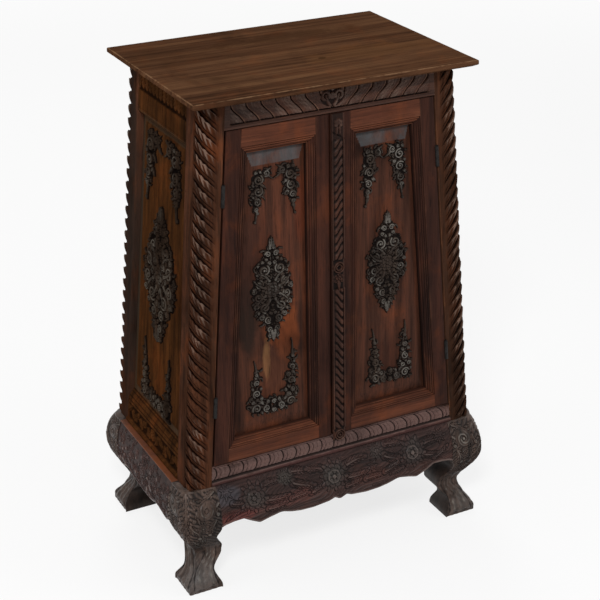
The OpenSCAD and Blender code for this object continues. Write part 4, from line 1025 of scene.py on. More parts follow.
def sprayField(width, height, headRight, seed, coarse=1.0):
    kx, ky = width / spray["width"], height / spray["height"]
    k = np.sqrt(kx * ky)
    u = bothEnds(-22 * kx, 24 * kx, spray["grid"] * coarse)
    v = bothEnds(-108 * ky, 4 * ky, spray["grid"] * coarse)
    field = np.zeros((len(u), len(v)))
    rows = [(a * kx, b * ky, c * k, d * kx, e * ky, f * k) for a, b, c, d, e, f in spray["bars"]]
    inside = capsules(rows)
    fixed = [(x * kx, y * ky, r * k) for x, y, r in spray["scrolls"]]
    box, sizes = ((-20 * kx, -104 * ky), (20 * kx, 0)), [r * k for r in spray["sizes"]]
    scrollWork(field, u, v, inside, box, sizes, fixed, seed, spray["high"], False)
    carveDisc(field, u, v, -12.5 * kx, -102 * ky, 2.8 * k, spray["high"] * 0.8)
    for x, y, heading, length, bend in spray["fronds"]:
        path = curl(x * kx, y * ky, heading, length * k, bend / k)
        carveStroke(field, u, v, path, 2.3 * k, spray["high"] * 0.92, 0.7, 0.9, 0.1, 2, spray["high"] * 0.15)
    if not headRight:
        u, field = -u[::-1], field[::-1]
    return u, v, field


def cornerField(half, columns, band, seed, coarse=1.0):
    # a U shaped scroll: a low band between two columns; columns holds side, height and lean of each
    rows = [(-half, band * 0.5, band * 0.5, half, band * 0.5, band * 0.5)]
    fixed, tips = [], []
    for side, height, lean in columns:
        bendX = side * (half + lean * 0.5)
        rows.append((side * half, band * 0.5, band * 0.56, bendX, height * 0.56, 8.5))
        rows.append((bendX, height * 0.56, 7.5, side * (half + lean), height * 0.80, 4.0))
        fixed.append((side * half, band * 0.52, band * 0.42))
        for share, up, radius in ((0.3, 0.40, 9.0), (0.6, 0.60, 6.5), (0.9, 0.75, 4.0)):
            fixed.append((side * (half + lean * share), height * up, radius))
        tips.append((side * (half + lean * 0.9), height * 0.76, 90 - side * 4, height * 0.24))
    fixed += [(-half * 0.42, band * 0.40, band * 0.34), (half * 0.42, band * 0.40, band * 0.34)]
    u = bothEnds(-half - 20, half + 20, corner["grid"] * coarse)
    v = bothEnds(-3, max(row[1] for row in columns) + 4, corner["grid"] * coarse)
    field = np.zeros((len(u), len(v)))
    inside = capsules(rows)
    box = ((-half - 16, 0), (half + 16, v[-1]))
    scrollWork(field, u, v, inside, box, corner["sizes"], fixed, seed, corner["high"], False)
    for x, y, heading, length in tips:
        carveStroke(field, u, v, curl(x, y, heading, length, 0.4), 2.5, corner["high"] * 0.85, 0.7, 0.8)
    for side in (-1, 1):
        for x, y, heading, length in ((half - 12, band * 0.8, 60, 14), (half - 16, band * 0.5, 130, 12)):
            path = curl(side * x, y, heading if side > 0 else 180 - heading, length, -side * 4.0)
            carveStroke(field, u, v, path, 2.5, corner["high"] * 0.95, vein=0.9, sag=0.1, notch=2)
    return u, v, field


def joinPieces(name, pieces, body, nodes):  # several ornaments become one piece
    bpy.ops.object.select_all(action="DESELECT")
    for piece in pieces:
        piece.select_set(True)
    bpy.context.view_layer.objects.active = pieces[0]
    bpy.ops.object.join()
    whole = pieces[0]
    whole.name = name
    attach(whole, body)
    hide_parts(*nodes)


def doorPlace(x0, z0, out=-11.0):
    return lambda uGrid, vGrid, field: onFront(x0 + uGrid, z0 + vGrid, out + field)


def sidePlace(y0, z0, side, out=-8.0):
    return lambda uGrid, vGrid, field: onSide(y0 + side * uGrid, z0 + vGrid, out + field, side)


# x and z of the medallion's middle; x, top and length of the two sprays; x, foot and half length of the
# corner scroll, and the side, height and lean of its columns
doorScrolls = {
    "left": {"medallion": (-114.0, 545.0), "sprays": ((-130.0, 763.0, 95.0), (-81.0, 764.0, 91.0)),
             "corner": (-117.0, 315.0, 33.0, ((-1, 104.0, -2.0), (1, 132.0, 6.0)))},
    "right": {"medallion": (110.0, 548.0), "sprays": ((79.0, 765.0, 108.0), (127.0, 766.0, 105.0)),
              "corner": (118.0, 314.0, 31.0, ((-1, 112.0, 2.0), (1, 116.0, -1.0)))},
}
for seed, word in ((1, "left"), (2, "right")):
    plan = doorScrolls[word]
    body = word + "_door"
    u, v, field = medallionField(77.0, 194.0, seed)
    parts = [carvedPlate("medallion", u, v, field, doorPlace(*plan["medallion"]), body)]
    for headRight, (x, z, length) in zip((True, False), plan["sprays"]):
        u, v, field = sprayField(37.0, length, headRight, seed * 10 + headRight)
        parts.append(carvedPlate("spray", u, v, field, doorPlace(x, z), body))
    x, z, half, columns = plan["corner"]
    u, v, field = cornerField(half, columns, 25.0, seed * 10 + 5)
    parts.append(carvedPlate("corner", u, v, field, doorPlace(x, z), body))
    node = "door_" + word + "_carvings"
    joinPieces("scrollOrnaments" + word.capitalize(), parts, body, [node])
for side, word in sides:
    u, v, field = medallionField(134.0, 253.0, 3, 1.35)
    place = sidePlace(0.0, 539.0, side)
    parts = [carvedPlate("medallion", u, v, field, place, "case", "sideCarving")]
    for dy, headRight in ((-44.0, True), (44.0, False)):
        u, v, field = sprayField(64.0, 127.0, headRight, 30 + headRight, 1.25)
        place = sidePlace(side * dy, 786.0, side)
        parts.append(carvedPlate("spray", u, v, field, place, "case", "sideCarving"))
    u, v, field = cornerField(50.0, ((-1, 118.0, 2.0), (1, 118.0, 2.0)), 27.0, 35, 1.25)
    place = sidePlace(0.0, 284.0, side)
    parts.append(carvedPlate("corner", u, v, field, place, "case", "sideCarving"))
    joinPieces("sideScrolls" + word.capitalize(), parts, "case", ["side_carvings_" + word])
print("ornaments made")


# doors: the moulding runs from the plain face to the lip: distance, depth and a relief that darkens its
# grooves as painted shade and lightens its fillets with painted highlights
door = {
    "stileOuter": 27.0, "mould": 15.0, "stileInner": 32.5, "railTop": 30.0, "railBottom": 25.0,
    "recess": 15.0, "bevelSide": 11.0, "bevelTop": 25.0, "bevelBottom": 20.0, "rise": 4.0, "mitre": 1.3,
    "panelUnder": 6.0, "panelBack": 20.0, "fineLow": 48.0, "fineHigh": 52.0, "fine": 1.6, "coarse": 8.0,
    "profile": [(0.0, 0.0, 0.62), (0.5, -1.3, 0.20), (1.2, -1.5, 0.16), (1.8, -0.5, 0.74),
                (3.4, -0.5, 0.74), (4.0, -1.9, 0.22), (4.9, -2.0, 0.18), (5.5, -1.1, 0.78),
                (7.0, -1.3, 0.78), (7.6, -2.8, 0.22), (8.6, -3.2, 0.40), (10.4, -5.4, 0.62),
                (11.0, -7.0, 0.20), (11.7, -7.2, 0.20), (12.2, -6.3, 0.80), (13.4, -6.6, 0.80),
                (14.0, -8.6, 0.24), (15.0, -10.0, 0.10)],
}
flatLow = cabinet["doorLow"] + door["railBottom"]
flatHigh = cabinet["doorHigh"] - door["railTop"]


def hingeEdge(z, inset):  # distance from the middle of a line parallel to the leaning hinge edge
    return caseX(z) - cabinet["postFront"] - cabinet["hingeGap"] - inset


def doorMember(name, node, kind, sign, body, finish, meetEnd):
    # a stile or rail: plain face, then the moulding's profile, mitred where it meets the next member
    m = np.array(door["profile"])
    width = {"outer": door["stileOuter"], "inner": door["stileInner"] - meetEnd,
             "top": door["railTop"], "bottom": door["railBottom"]}[kind]
    plain = np.array([0.0, 0.5, 1.5, width * 0.5, width - 0.3])
    across = np.concatenate([plain, width + m[:, 0]])
    depth = np.concatenate([[-0.5, -0.15, 0.0, 0.0, 0.0], m[:, 1]])
    # relief: low in the grooves and at the outer edge, for painted shade there
    dark = np.concatenate([[0.3, 0.55, 0.62, 0.62, 0.62], m[:, 2]])
    inMould = np.concatenate([np.zeros(len(plain)), m[:, 0]])
    upright = kind in ("outer", "inner")
    mitre = door["mitre"] / (560.0 if upright else 110.0)  # as a share of the member's length
    v = np.concatenate([[0, mitre * 0.6], bothEnds(mitre, 1 - mitre, 0.02), [1 - mitre * 0.6, 1]])
    acrossGrid, vGrid = np.meshgrid(across, v, indexing="ij")
    depthGrid = np.repeat(depth[:, None], len(v), 1)
    intoMould = np.repeat(inMould[:, None], len(v), 1)
    flat = (np.arange(len(across)) < len(plain))[:, None] & (vGrid >= 0)
    if upright:
        low = np.where(flat, cabinet["doorLow"], flatLow + intoMould)
        high = np.where(flat, cabinet["doorHigh"], flatHigh - intoMould)
        zGrid = low + vGrid * (high - low)
        xGrid = hingeEdge(zGrid, acrossGrid) if kind == "outer" else meetEnd + acrossGrid
    else:
        zGrid = cabinet["doorHigh"] - acrossGrid if kind == "top" else cabinet["doorLow"] + acrossGrid
        outerX = hingeEdge(zGrid, door["stileOuter"] + intoMould)
        innerX = door["stileInner"] + intoMould
        xGrid = innerX + vGrid * (outerX - innerX)
    relief = np.repeat(dark[:, None], len(v), 1)
    nearEnd = np.minimum(vGrid, 1 - vGrid) < mitre * 0.5
    relief = np.where(nearEnd & ((intoMould > 0) | (not upright)), 0.12, relief)
    wear = np.exp(-((acrossGrid - width) / 1.2) ** 2) * 0.5 + 0.45 * np.exp(-(acrossGrid / 1.5) ** 2)
    back = onFront(sign * xGrid, zGrid, np.full_like(xGrid, -cabinet["doorThick"]))
    board(name, onFront(sign * xGrid, zGrid, depthGrid), back, finish, body,
          [node], relief, wear, 30)


def doorPanel(name, node, sign, body):
    # raised panel: height is set by the nearest of the four bevels, columns follow the leaning stile
    under, lip = door["panelUnder"], door["mould"]
    near = np.array([-under, -0.2, 0.0, 2.0, 4.0, 6.0, 8.0, 9.5, 10.5, 11.5, 12.5, 15.0])
    mid = np.linspace(0.08, 0.92, 16)
    low, high = flatLow + door["fineLow"], flatHigh - door["fineHigh"]
    z = np.unique(np.concatenate([bothEnds(flatLow + lip - under, low, door["fine"]),
                                  bothEnds(low, high, door["coarse"]),
                                  bothEnds(high, flatHigh - lip + under, door["fine"])]))
    outerX = hingeEdge(z, door["stileOuter"] + lip)
    innerX = np.full_like(z, door["stileInner"] + lip)
    between = outerX - innerX - 2 * near[-1]
    xGrid = np.array([innerX + a for a in near] + [innerX + near[-1] + between * t for t in mid] +
                     [outerX - a for a in near[::-1]])
    zGrid = np.repeat(z[None], len(xGrid), 0)
    inX, outX = xGrid - innerX[None], outerX[None] - xGrid
    up, down = zGrid - (flatLow + lip), (flatHigh - lip) - zGrid
    part = np.minimum(np.minimum(inX, outX) / door["bevelSide"],
                      np.minimum(up / door["bevelBottom"], down / door["bevelTop"]))
    edge = smooth(part, 0.9, 1.0) * (1 - smooth(part, 1.0, 1.1))
    field = -door["recess"] + door["rise"] * np.clip(part, 0, 1) - 0.2 * edge
    fromTop = down / door["bevelTop"]
    onTopBevel = (fromTop < 1) & (part < 1) & (part > 0.04) & (fromTop <= part + 0.02)
    # marks: wear along the field's edge, and on the top bevel a painted reflection, partly wax bloom
    wear = np.maximum(0.35 * np.exp(-((part - 1.0) / 0.08) ** 2), 0.62 * onTopBevel)
    back = onFront(sign * xGrid, zGrid, np.full_like(xGrid, -door["panelBack"]))
    board(name, onFront(sign * xGrid, zGrid, field), back, "panelTeak", body, [node],
          None, wear, 25)


for word, sign, meetEnd in (("left", -1, 8.0), ("right", 1, -5.0)):
    body = word + "_door"
    tag = word.capitalize()
    for name, node, kind, finish in (("outerStile", "_stile_outer", "outer", "stileTeak"),
                                     ("meetingStile", "_stile_inner", "inner", "stileTeak"),
                                     ("topRail", "_rail_top", "top", "railTeak"),
                                     ("bottomRail", "_rail_bottom", "bottom", "railTeak")):
        doorMember(name + tag, "door_" + word + node, kind, sign, body, finish, meetEnd)
    doorPanel("raisedPanelDoor" + tag, "door_" + word + "_panel", sign, body)
print("doors made")


# carved strip on the right door
strip = {
    "left": -5.0, "right": 19.0, "low": 230.5, "high": 838.0, "pitch": 15.4, "lean": 17.0, "proud": 7.8,
    "ground": 2.2, "bossZ": 241.5, "knotZ": 566.0, "flowerZ": 545.0, "budZ": 822.0,
    "plain": [(526, 580), (228, 254), (794, 839)],  # from and to, where the rope stops
}
stripMiddle = (strip["left"] + strip["right"]) / 2


def leafRope(x, z, direction):
    # a rope of leaves: slanting ridges between two thin plain edges, each ridge with a groove along it
    s = (x - stripMiddle) / 9.5
    bend = direction * (strip["lean"] * 0.5 * s + 2.5 * np.sin(np.pi * np.clip(s, -1, 1)))
    f = (z - bend) / strip["pitch"]
    f = f - np.floor(f)
    ridge = np.clip(np.sin(np.pi * f), 0, 1) ** 0.9 * (0.65 + 0.35 * f) - 0.22 * groove(f, 0.52, 0.07)
    ridge = ridge * (1 - 0.55 * smooth(abs(s), 0.55, 1.0))
    field = strip["ground"] + (strip["proud"] - strip["ground"]) * np.clip(ridge, 0, 1)
    return np.where(abs(s) < 1.0, field, 5.6)


def makeLeafStrip():
    # from the foot up: ringed boss, rope, flower and knot, rope leaning the other way, bud
    x = bothEnds(strip["left"], strip["right"], 0.7)
    z = bothEnds(strip["low"], strip["high"], 0.85)
    xGrid, zGrid = np.meshgrid(x, z, indexing="ij")
    field = np.where(zGrid > 552.0, leafRope(xGrid, zGrid, 1), leafRope(xGrid, zGrid, -1))
    ground, mid = strip["ground"], stripMiddle
    for low, high in strip["plain"]:
        field = np.where((zGrid > low) & (zGrid < high), ground + 1.6 * (low > 700), field)
    for radius, thick in ((9.5, 1.6), (5.6, 1.6)):
        carveRing(field, x, z, mid, strip["bossZ"], radius, thick, 7.4, ground)
    carveDisc(field, x, z, mid, strip["bossZ"], 2.6, 7.8, ground)
    for radius, thick in ((9.0, 1.5), (5.2, 1.4)):
        carveRing(field, x, z, mid, strip["knotZ"], radius, thick, 7.2, ground)
    carveFlower(field, x, z, mid, strip["flowerZ"], 10.0, 7.8, ground, 6, 0.5)
    carveStroke(field, x, z, curl(mid, strip["flowerZ"] - 9, -90, 14, 0), 4.0, 7.2, 0.8, 1.4)
    for angle in np.radians((90, 150, 30, 210, 330)):
        petalX, petalZ = mid + 5.0 * np.cos(angle), strip["budZ"] + 5.0 * np.sin(angle)
        carveDisc(field, x, z, petalX, petalZ, 3.9, 7.8, ground + 1)
    carveDisc(field, x, z, mid, strip["budZ"], 2.4, 7.9, ground)
    for side in (-1, 1):
        leaf = curl(mid + side * 2.2, strip["budZ"] - 7, -90 + side * 6, 13, 0)
        carveStroke(field, x, z, leaf, 2.6, 7.4, 0.7, 0.8)
    slant = groove((zGrid - 801.0) + (xGrid - mid) * 0.62, 0, 1.1)
    field = field - 2.2 * slant * (zGrid > 785) * (zGrid < 815)
    field = np.where(xGrid < strip["left"] + 1.0, np.minimum(field, 5.0), field)
    field = np.where(xGrid > strip["right"] - 1.0, np.minimum(field, 4.6), field)
    relief = np.clip((field - ground) / (strip["proud"] - ground), 0, 1) ** 1.3
    relief = np.where((xGrid < strip["left"] + 2.6) | (xGrid > strip["right"] - 2.6), 0.66, relief)
    # round the bud at the top the low places are darkened further as painted shade
    relief = np.where((zGrid > 794) & (relief < 0.66), 0.15 + 0.6 * relief, relief)
    back = onFront(xGrid, zGrid, np.where(zGrid < 242.0, 1.0, 0.0))
    board("leafStrip", onFront(xGrid, zGrid, np.clip(field, 1.4, 8.0)), back, "stripTeak", "right_door",
          ["door_right_astragal"], relief, None, 75)


makeLeafStrip()
print("carved strip made")


# stand
stand = {
    "footX": 302.0, "footY": 186.0, "topX": 300.0, "topY": 169.0, "footSize": 66.0, "apronLow": 116.0,
    "kneeZ": 148.0, "kneeOut": 9.0, "ankleZ": 62.0, "ankleIn": 24.0, "apronThick": 20.0, "carveDeep": 3.4,
    # against height: how far a leg's inner faces lie further out than at the floor, and the radius of
    # its outer corner
    "legInner": [(0, 0), (10, 1), (32.86, 10), (62, -9), (78, -8), (110, 9), (130, 2), (203, 2)],
    "legCorner": [(0, 4), (62, 8), (148, 20), (203, 28)],
    # against height: half width of the tongue on the lower leg
    "tongue": [(0, 26.0), (12, 23.0), (62, 11.0), (90, 9.0)],
}
# carving of a knee by distance round the leg and height: x, z, heading, length, half width and bend of the
# leaves, place of the swirl, x, z and radius of the rose and of the knobs
knee = {
    "leaves": [(8, 190, -30, 40, 7.5, 0.9), (52, 196, -150, 34, 6.5, 0.6), (20, 172, -62, 40, 8.0, 0.8),
               (62, 178, -128, 40, 7.0, -0.9), (8, 150, -58, 34, 7.0, 0.7), (58, 150, -118, 36, 6.5, 0.5),
               (30, 122, -100, 34, 6.0, -0.6), (10, 116, -74, 30, 5.5, 0.4)],
    "swirl": (40.0, 170.0), "rose": (33, 139, 10.5),
    "knobs": [(24, 118, 4.6), (44, 121, 4.0), (16, 158, 4.2), (62, 160, 4.0)],
    "reach": 90.0,
}


def easedCurve(z, keys):
    # smooth curve through pairs of height and value, level at its ends and where it turns
    k = np.array(keys, float)
    h = np.diff(k[:, 0])
    rate = np.diff(k[:, 1]) / h
    slope = np.zeros(len(k))
    turnsNot = rate[:-1] * rate[1:] > 0
    slope[1:-1] = np.where(turnsNot, (k[2:, 1] - k[:-2, 1]) / (k[2:, 0] - k[:-2, 0]), 0)
    i = np.clip(np.searchsorted(k[:, 0], z, side="left") - 1, 0, len(h) - 1)
    t = np.clip((z - k[i, 0]) / h[i], 0, 1)
    u = 1 - t
    ends = k[i, 1] * u * u * (1 + 2 * t) + k[i + 1, 1] * t * t * (3 - 2 * t)
    return ends + h[i] * t * u * (slope[i] * u - slope[i + 1] * t)


def legOut(z, foot, top):  # outer face of the leg against height
    rise = stand["kneeZ"] - stand["ankleZ"]
    swell = stand["kneeOut"] + stand["ankleIn"]
    a, i = stand["ankleZ"], stand["ankleIn"]
    keys = [(0, 0), (10, 0), (a * 0.55, -i * 0.6), (a, -i), (a + rise * 0.35, swell * 0.42 - i),
            (a + rise * 0.56, swell * 0.76 - i), (a + rise * 0.79, swell * 0.97 - i),
            (stand["kneeZ"], stand["kneeOut"])]
    low = foot + easedCurve(z, keys)
    t = np.clip((z - stand["kneeZ"]) / (cabinet["standTop"] - stand["kneeZ"]), 0, 1)
    high = top + (foot + stand["kneeOut"] - top) * (1 - t * t)
    return np.where(z >= stand["kneeZ"], high, low)


def carveKnee(q, z):
    # q is the distance round the leg from its outer corner, negative on one face and positive on the other
    deep = -stand["carveDeep"]
    away, up = np.meshgrid(abs(q), z, indexing="ij")
    # wavy ground: slanting ridges 7 mm apart
    wave = 1.1 * np.sin(up / 13.0) + 0.9 * np.sin(away / 9.0 + up / 21.0)
    field = deep * (0.62 - 0.34 * np.sin(2 * np.pi * (0.55 * away + 0.84 * up) / 7.0 + wave))
    for side in (-1, 1):
        for x, zz, heading, length, wide, bend in knee["leaves"]:
            turned = heading if side > 0 else 180 - heading
            carveLeaf(field, q, z, side * x, zz, turned, length, wide, -0.1, deep, side * bend, 4)
        # swirl: two grooves that wind out from the middle of a round boss
        midX, midZ = knee["swirl"]
        dx, dz = q[:, None] * side - midX, z[None] - midZ
        far = np.hypot(dx, dz)
        wind = np.cos(2 * np.pi * far / 5.6 + 2 * np.arctan2(dz, dx))
        boss = deep * np.clip(0.10 + 0.34 * (0.5 - 0.5 * wind) + 0.45 * smooth(far, 10, 19), 0, 1)
        field[:] = np.where(far < 18.0, boss, field)
        carveDisc(field, q, z, side * midX, midZ, 3.6, -0.1, deep, moat=1.0)
        x, zz, r = knee["rose"]
        carveFlower(field, q, z, side * x, zz, r, -0.1, deep, 7, 0.2)
        for x, zz, r in knee["knobs"]:
            carveDisc(field, q, z, side * x, zz, r, -0.2, deep, hollow=0.9, moat=1.0)
    carveLeaf(field, q, z, 0.0, 198, -90, 60, 9.0, 0.0, deep, 0.0, 5, 1.5)
    carveLeaf(field, q, z, 0.0, 146, -90, 44, 7.0, 0.0, deep, 0.0, 4, 1.5)
    return field


def makeLeg(name, node, signX, signY):
    # ring in the plan: front face from its inner end, round the corner, side face, plain inner side
    z = bothEnds(0.0, cabinet["standTop"], 1.1)
    zs = z[:, None]
    outX, outY = legOut(z, stand["footX"], stand["topX"]), legOut(z, stand["footY"], stand["topY"])
    inX = stand["footX"] - stand["footSize"] + easedCurve(z, stand["legInner"])
    inY = inX - (stand["footX"] - stand["footY"])
    r = easedCurve(z, stand["legCorner"])
    t = np.linspace(0, 1, 50)[None]
    frontLen = (outX - r - inX)[:, None]
    sideLen = (outY - r - inY)[:, None]
    arcLen = (r * np.pi / 2)[:, None]
    a = np.linspace(0, np.pi / 2, 28)[None]
    fx, fy = inX[:, None] + frontLen * t, np.repeat(outY[:, None], 50, 1)
    cx = outX[:, None] - r[:, None] * (1 - np.sin(a))
    cy = outY[:, None] - r[:, None] * (1 - np.cos(a))
    sx, sy = np.repeat(outX[:, None], 50, 1), outY[:, None] - r[:, None] - sideLen * t
    px = np.concatenate([fx, cx[:, 1:-1], sx], 1)
    py = np.concatenate([fy, cy[:, 1:-1], sy], 1)
    nx = np.concatenate([0 * fx, np.repeat(np.sin(a[:, 1:-1]), len(z), 0), 0 * sx + 1], 1)
    ny = np.concatenate([0 * fy + 1, np.repeat(np.cos(a[:, 1:-1]), len(z), 0), 0 * sy], 1)
    q = np.concatenate([-(arcLen / 2 + frontLen * (1 - t)), (a[:, 1:-1] - np.pi / 4) * r[:, None],
                        arcLen / 2 + sideLen * t], 1)
    reach = knee["reach"]
    gridQ = bothEnds(-reach, reach, 0.85)
    carved = carveKnee(gridQ, z)
    col = np.clip((q + reach) / (2 * reach) * (len(gridQ) - 1), 0, len(gridQ) - 1.001)
    i0 = col.astype(int)
    rows = np.arange(len(z))[:, None]
    field = carved[i0, rows] * (1 - (col - i0)) + carved[i0 + 1, rows] * (col - i0)
    relief = np.clip((field + stand["carveDeep"]) / stand["carveDeep"], 0, 1)
    upper = smooth(zs, 78, 96)
    # lower leg and foot: a raised tongue that widens from the ankle to the toe, with two ridges down it
    faceMid = np.where(q < 0, -(arcLen / 2 + frontLen * 0.5), arcLen / 2 + sideLen * 0.5)
    w = np.interp(z, *zip(*stand["tongue"]))[:, None]
    off = abs(q - faceMid) / w
    tongue = 1.6 * (1 - smooth(off, 0.85, 0.97)) * smooth(zs, 5, 9) * (1 - smooth(zs, 74, 88))
    ridge = groove(off, 0.60, 0.14) + groove(off, 0.0, 0.12)
    ridge = ridge * smooth(zs, 8, 16) * (1 - smooth(zs, 66, 82))
    curlAt = np.sin((q - faceMid) * 0.30 + zs * 0.20)
    curlAt = curlAt * np.sin(zs * 0.31 + 1.3 * np.sin((q - faceMid) * 0.25))
    plain = -2.8 + tongue + ridge + 0.55 * curlAt
    rimLine = groove(off, 1.0, 0.05) * smooth(zs, 4, 8) * (1 - smooth(zs, 70, 84))
    plain = np.where(zs < 4, np.minimum(plain, -1.4), plain)
    field = field * upper + plain * (1 - upper)
    # relief of the lower leg: higher on the tongue and its ridges, where the painted highlight shows, and
    # darkened as painted shade along the tongue's rim
    low = 0.34 + 0.18 * (tongue > 0.8) + 0.20 * ridge + 0.16 * curlAt - 0.3 * rimLine
    relief = relief * upper + np.clip(low, 0, 1) * (1 - upper)
    topFlat = smooth(zs, 198, 201.5)
    field = field * (1 - topFlat) - 0.3 * topFlat
    relief = relief * (1 - topFlat) + 0.62 * topFlat
    edge = np.minimum(abs(q - q[:, :1]), abs(q - q[:, -1:]))
    field = field * smooth(edge, 0.0, 2.5) - 0.8 * (1 - smooth(edge, 0.0, 2.5))
    field = np.minimum(field, -0.03)
    px, py = px + nx * field, py + ny * field
    c = 3.0
    ix = np.stack([outX - c, inX + c, inX, inX], 1)
    iy = np.stack([inY, inY, inY + c, outY - c], 1)
    ringX, ringY = np.concatenate([px, ix], 1), np.concatenate([py, iy], 1)
    relief = np.concatenate([relief, np.full((len(z), 4), 0.22)], 1)
    zGrid = np.repeat(zs, ringX.shape[1], 1)
    rings = np.stack([signX * ringX, signY * ringY, zGrid], -1)
    post(name, rings, "legTeak", "case", [node], relief, None, 70)


for side, end, tag, place in caseCorners:
    makeLeg("cabriole" + tag, "leg_" + place, side, end)
print("legs made")


# aprons: lower edge as share of the half length and height over the lowest line, then what is carved on them
apron = {
    "frontEdge": [(0, 0), (0.05, 8), (0.1, 2), (0.23, -2.5), (0.34, -1), (0.42, 3.5), (0.49, 10),
                  (0.52, 10.5), (0.61, 5), (0.68, -1), (0.76, 11), (0.82, 20.5), (0.9, 20), (0.975, 17),
                  (1.0, 14)],
    "sideEdge": [(0, -5), (0.22, -2), (0.4, 6), (0.52, 13), (0.64, 12), (0.78, 3), (0.86, -1), (0.94, 9),
                 (1.0, 10)],
    # x, z and radius: roses and buds of the front and back, flowers of the sides
    "roses": [(-173, 169, 22), (-13, 168, 22), (152, 171, 22)],
    "buds": [(-222, 190, 11), (-108, 189, 13), (79, 191, 13), (66, 168, 9), (214, 186, 11)],
    # x, z, heading, length, half width, bend per mm
    "leaves": [(-222, 140, 28, 46, 5.5, -0.4), (-214, 170, -20, 30, 5.0, 1.0),
               (-148, 160, -12, 44, 6.5, 0.5), (-150, 184, 20, 30, 5.0, -1.2),
               (-146, 142, -8, 40, 5.5, 0.8), (-94, 176, -25, 44, 6.5, 0.4), (-92, 194, -6, 44, 5.0, -0.3),
               (-60, 150, 10, 34, 6.0, 0.8), (-100, 150, 12, 36, 5.5, -0.6), (-36, 186, 160, 30, 5.0, 0.8),
               (12, 180, 18, 46, 6.5, -0.5), (12, 160, -10, 44, 6.5, 0.6), (14, 142, 8, 36, 5.0, 0.2),
               (52, 146, 6, 40, 6.0, -0.4), (94, 178, -28, 36, 6.5, 0.6), (100, 196, -4, 40, 5.0, -0.4),
               (92, 150, 14, 38, 6.0, 0.3), (176, 180, 12, 40, 6.5, -0.5), (176, 162, -22, 36, 6.0, 0.8),
               (128, 148, 190, 26, 4.5, 0.4), (198, 150, 20, 34, 5.0, 0.6)],
    "flowers": [(0, 162, 14), (-58, 166, 11), (58, 166, 11), (-96, 180, 8), (96, 180, 8), (-30, 184, 7),
                (30, 184, 7)],
    "seed": 5, "sideSeed": 8,
}


def edgeLine(x, half, keys):  # height of the apron's lower edge at a distance from its middle
    k = np.array(keys, float)
    return stand["apronLow"] + np.interp(abs(x) / half, k[:, 0], k[:, 1])


def carveFrontApron(x, z):
    # wavy ground, long veined leaves, roses and buds
    deep = -stand["carveDeep"]
    xGrid, zGrid = np.meshgrid(x, z, indexing="ij")
    wave = 0.9 * np.sin(xGrid / 19) + 0.5 * np.sin(zGrid / 7 + xGrid / 31)
    stripes = np.sin(2 * np.pi * ((xGrid * 0.35 - zGrid * 0.94) / 6.5 + wave))
    field = deep + 1.6 + 0.55 * stripes
    rng = np.random.default_rng(apron["seed"])
    for _ in range(60):
        carveLeaf(field, x, z, rng.uniform(-236, 236), rng.uniform(120, 198),
                  rng.choice([-25, 15, 165, 205]), 15, 4.0, -1.3, deep + 0.6, rng.uniform(-1.5, 1.5), 3)
    for lx, lz, heading, length, wide, bend in apron["leaves"]:
        carveStroke(field, x, z, curl(lx, lz, heading, length, bend), wide * 1.2, -1.2, base=deep, moat=1.6)
        carveLeaf(field, x, z, lx, lz, heading, length * 0.9, wide * 1.15, -0.1, deep, bend, 5, 2.0)
    carveStroke(field, x, z, curl(-236, 126, 42, 52, -0.7), 3.2, 0.0, 0.3, base=deep, moat=1.6)
    for fx, fz, fr in apron["roses"]:
        for k in range(10):
            petal = curl(fx, fz, 36.0 * k + 14, fr * 1.22, 0.8)
            carveStroke(field, x, z, petal, 5.2, -0.7, 0.50, 0.7, base=deep, moat=1.1)
        carveFlower(field, x, z, fx, fz, fr, 0.0, deep, 9, rng.uniform(0, 1))
        carveRing(field, x, z, fx, fz, fr * 0.50, 1.3, -0.3, deep + 0.8)
        for angle in 1.57 * np.arange(4):
            carveDisc(field, x, z, fx + 2.3 * np.cos(angle), fz + 2.3 * np.sin(angle), 1.9, 0.0, -1.0)
    for fx, fz, fr in apron["buds"]:
        for k in range(7):
            petal = curl(fx, fz, 51.4 * k, fr * 1.15, 0.0)
            carveStroke(field, x, z, petal, 3.2, -0.5, 0.80, 0.6, base=deep, moat=0.9)
        carveFlower(field, x, z, fx, fz, fr * 0.66, 0.0, deep, 7, 0.4)
    return field


def carveSideApron(x, z):
    # dense small foliage with round knobs
    deep = -stand["carveDeep"]
    field = np.full((len(x), len(z)), deep + 1.0)
    rng = np.random.default_rng(apron["sideSeed"])
    for _ in range(150):
        carveLeaf(field, x, z, rng.uniform(-120, 120), rng.uniform(108, 196), rng.uniform(0, 360), 14, 3.6,
                  rng.uniform(-1.4, -0.2), deep, rng.uniform(-3, 3), 3)
    for _ in range(50):
        carveDisc(field, x, z, rng.uniform(-118, 118), rng.uniform(112, 194), rng.uniform(2.2, 4.2),
                  0.0, -1.8, 0.5)
    for fx, fz, fr in apron["flowers"]:
        carveFlower(field, x, z, fx, fz, fr, 0.0, deep, 8)
    return field


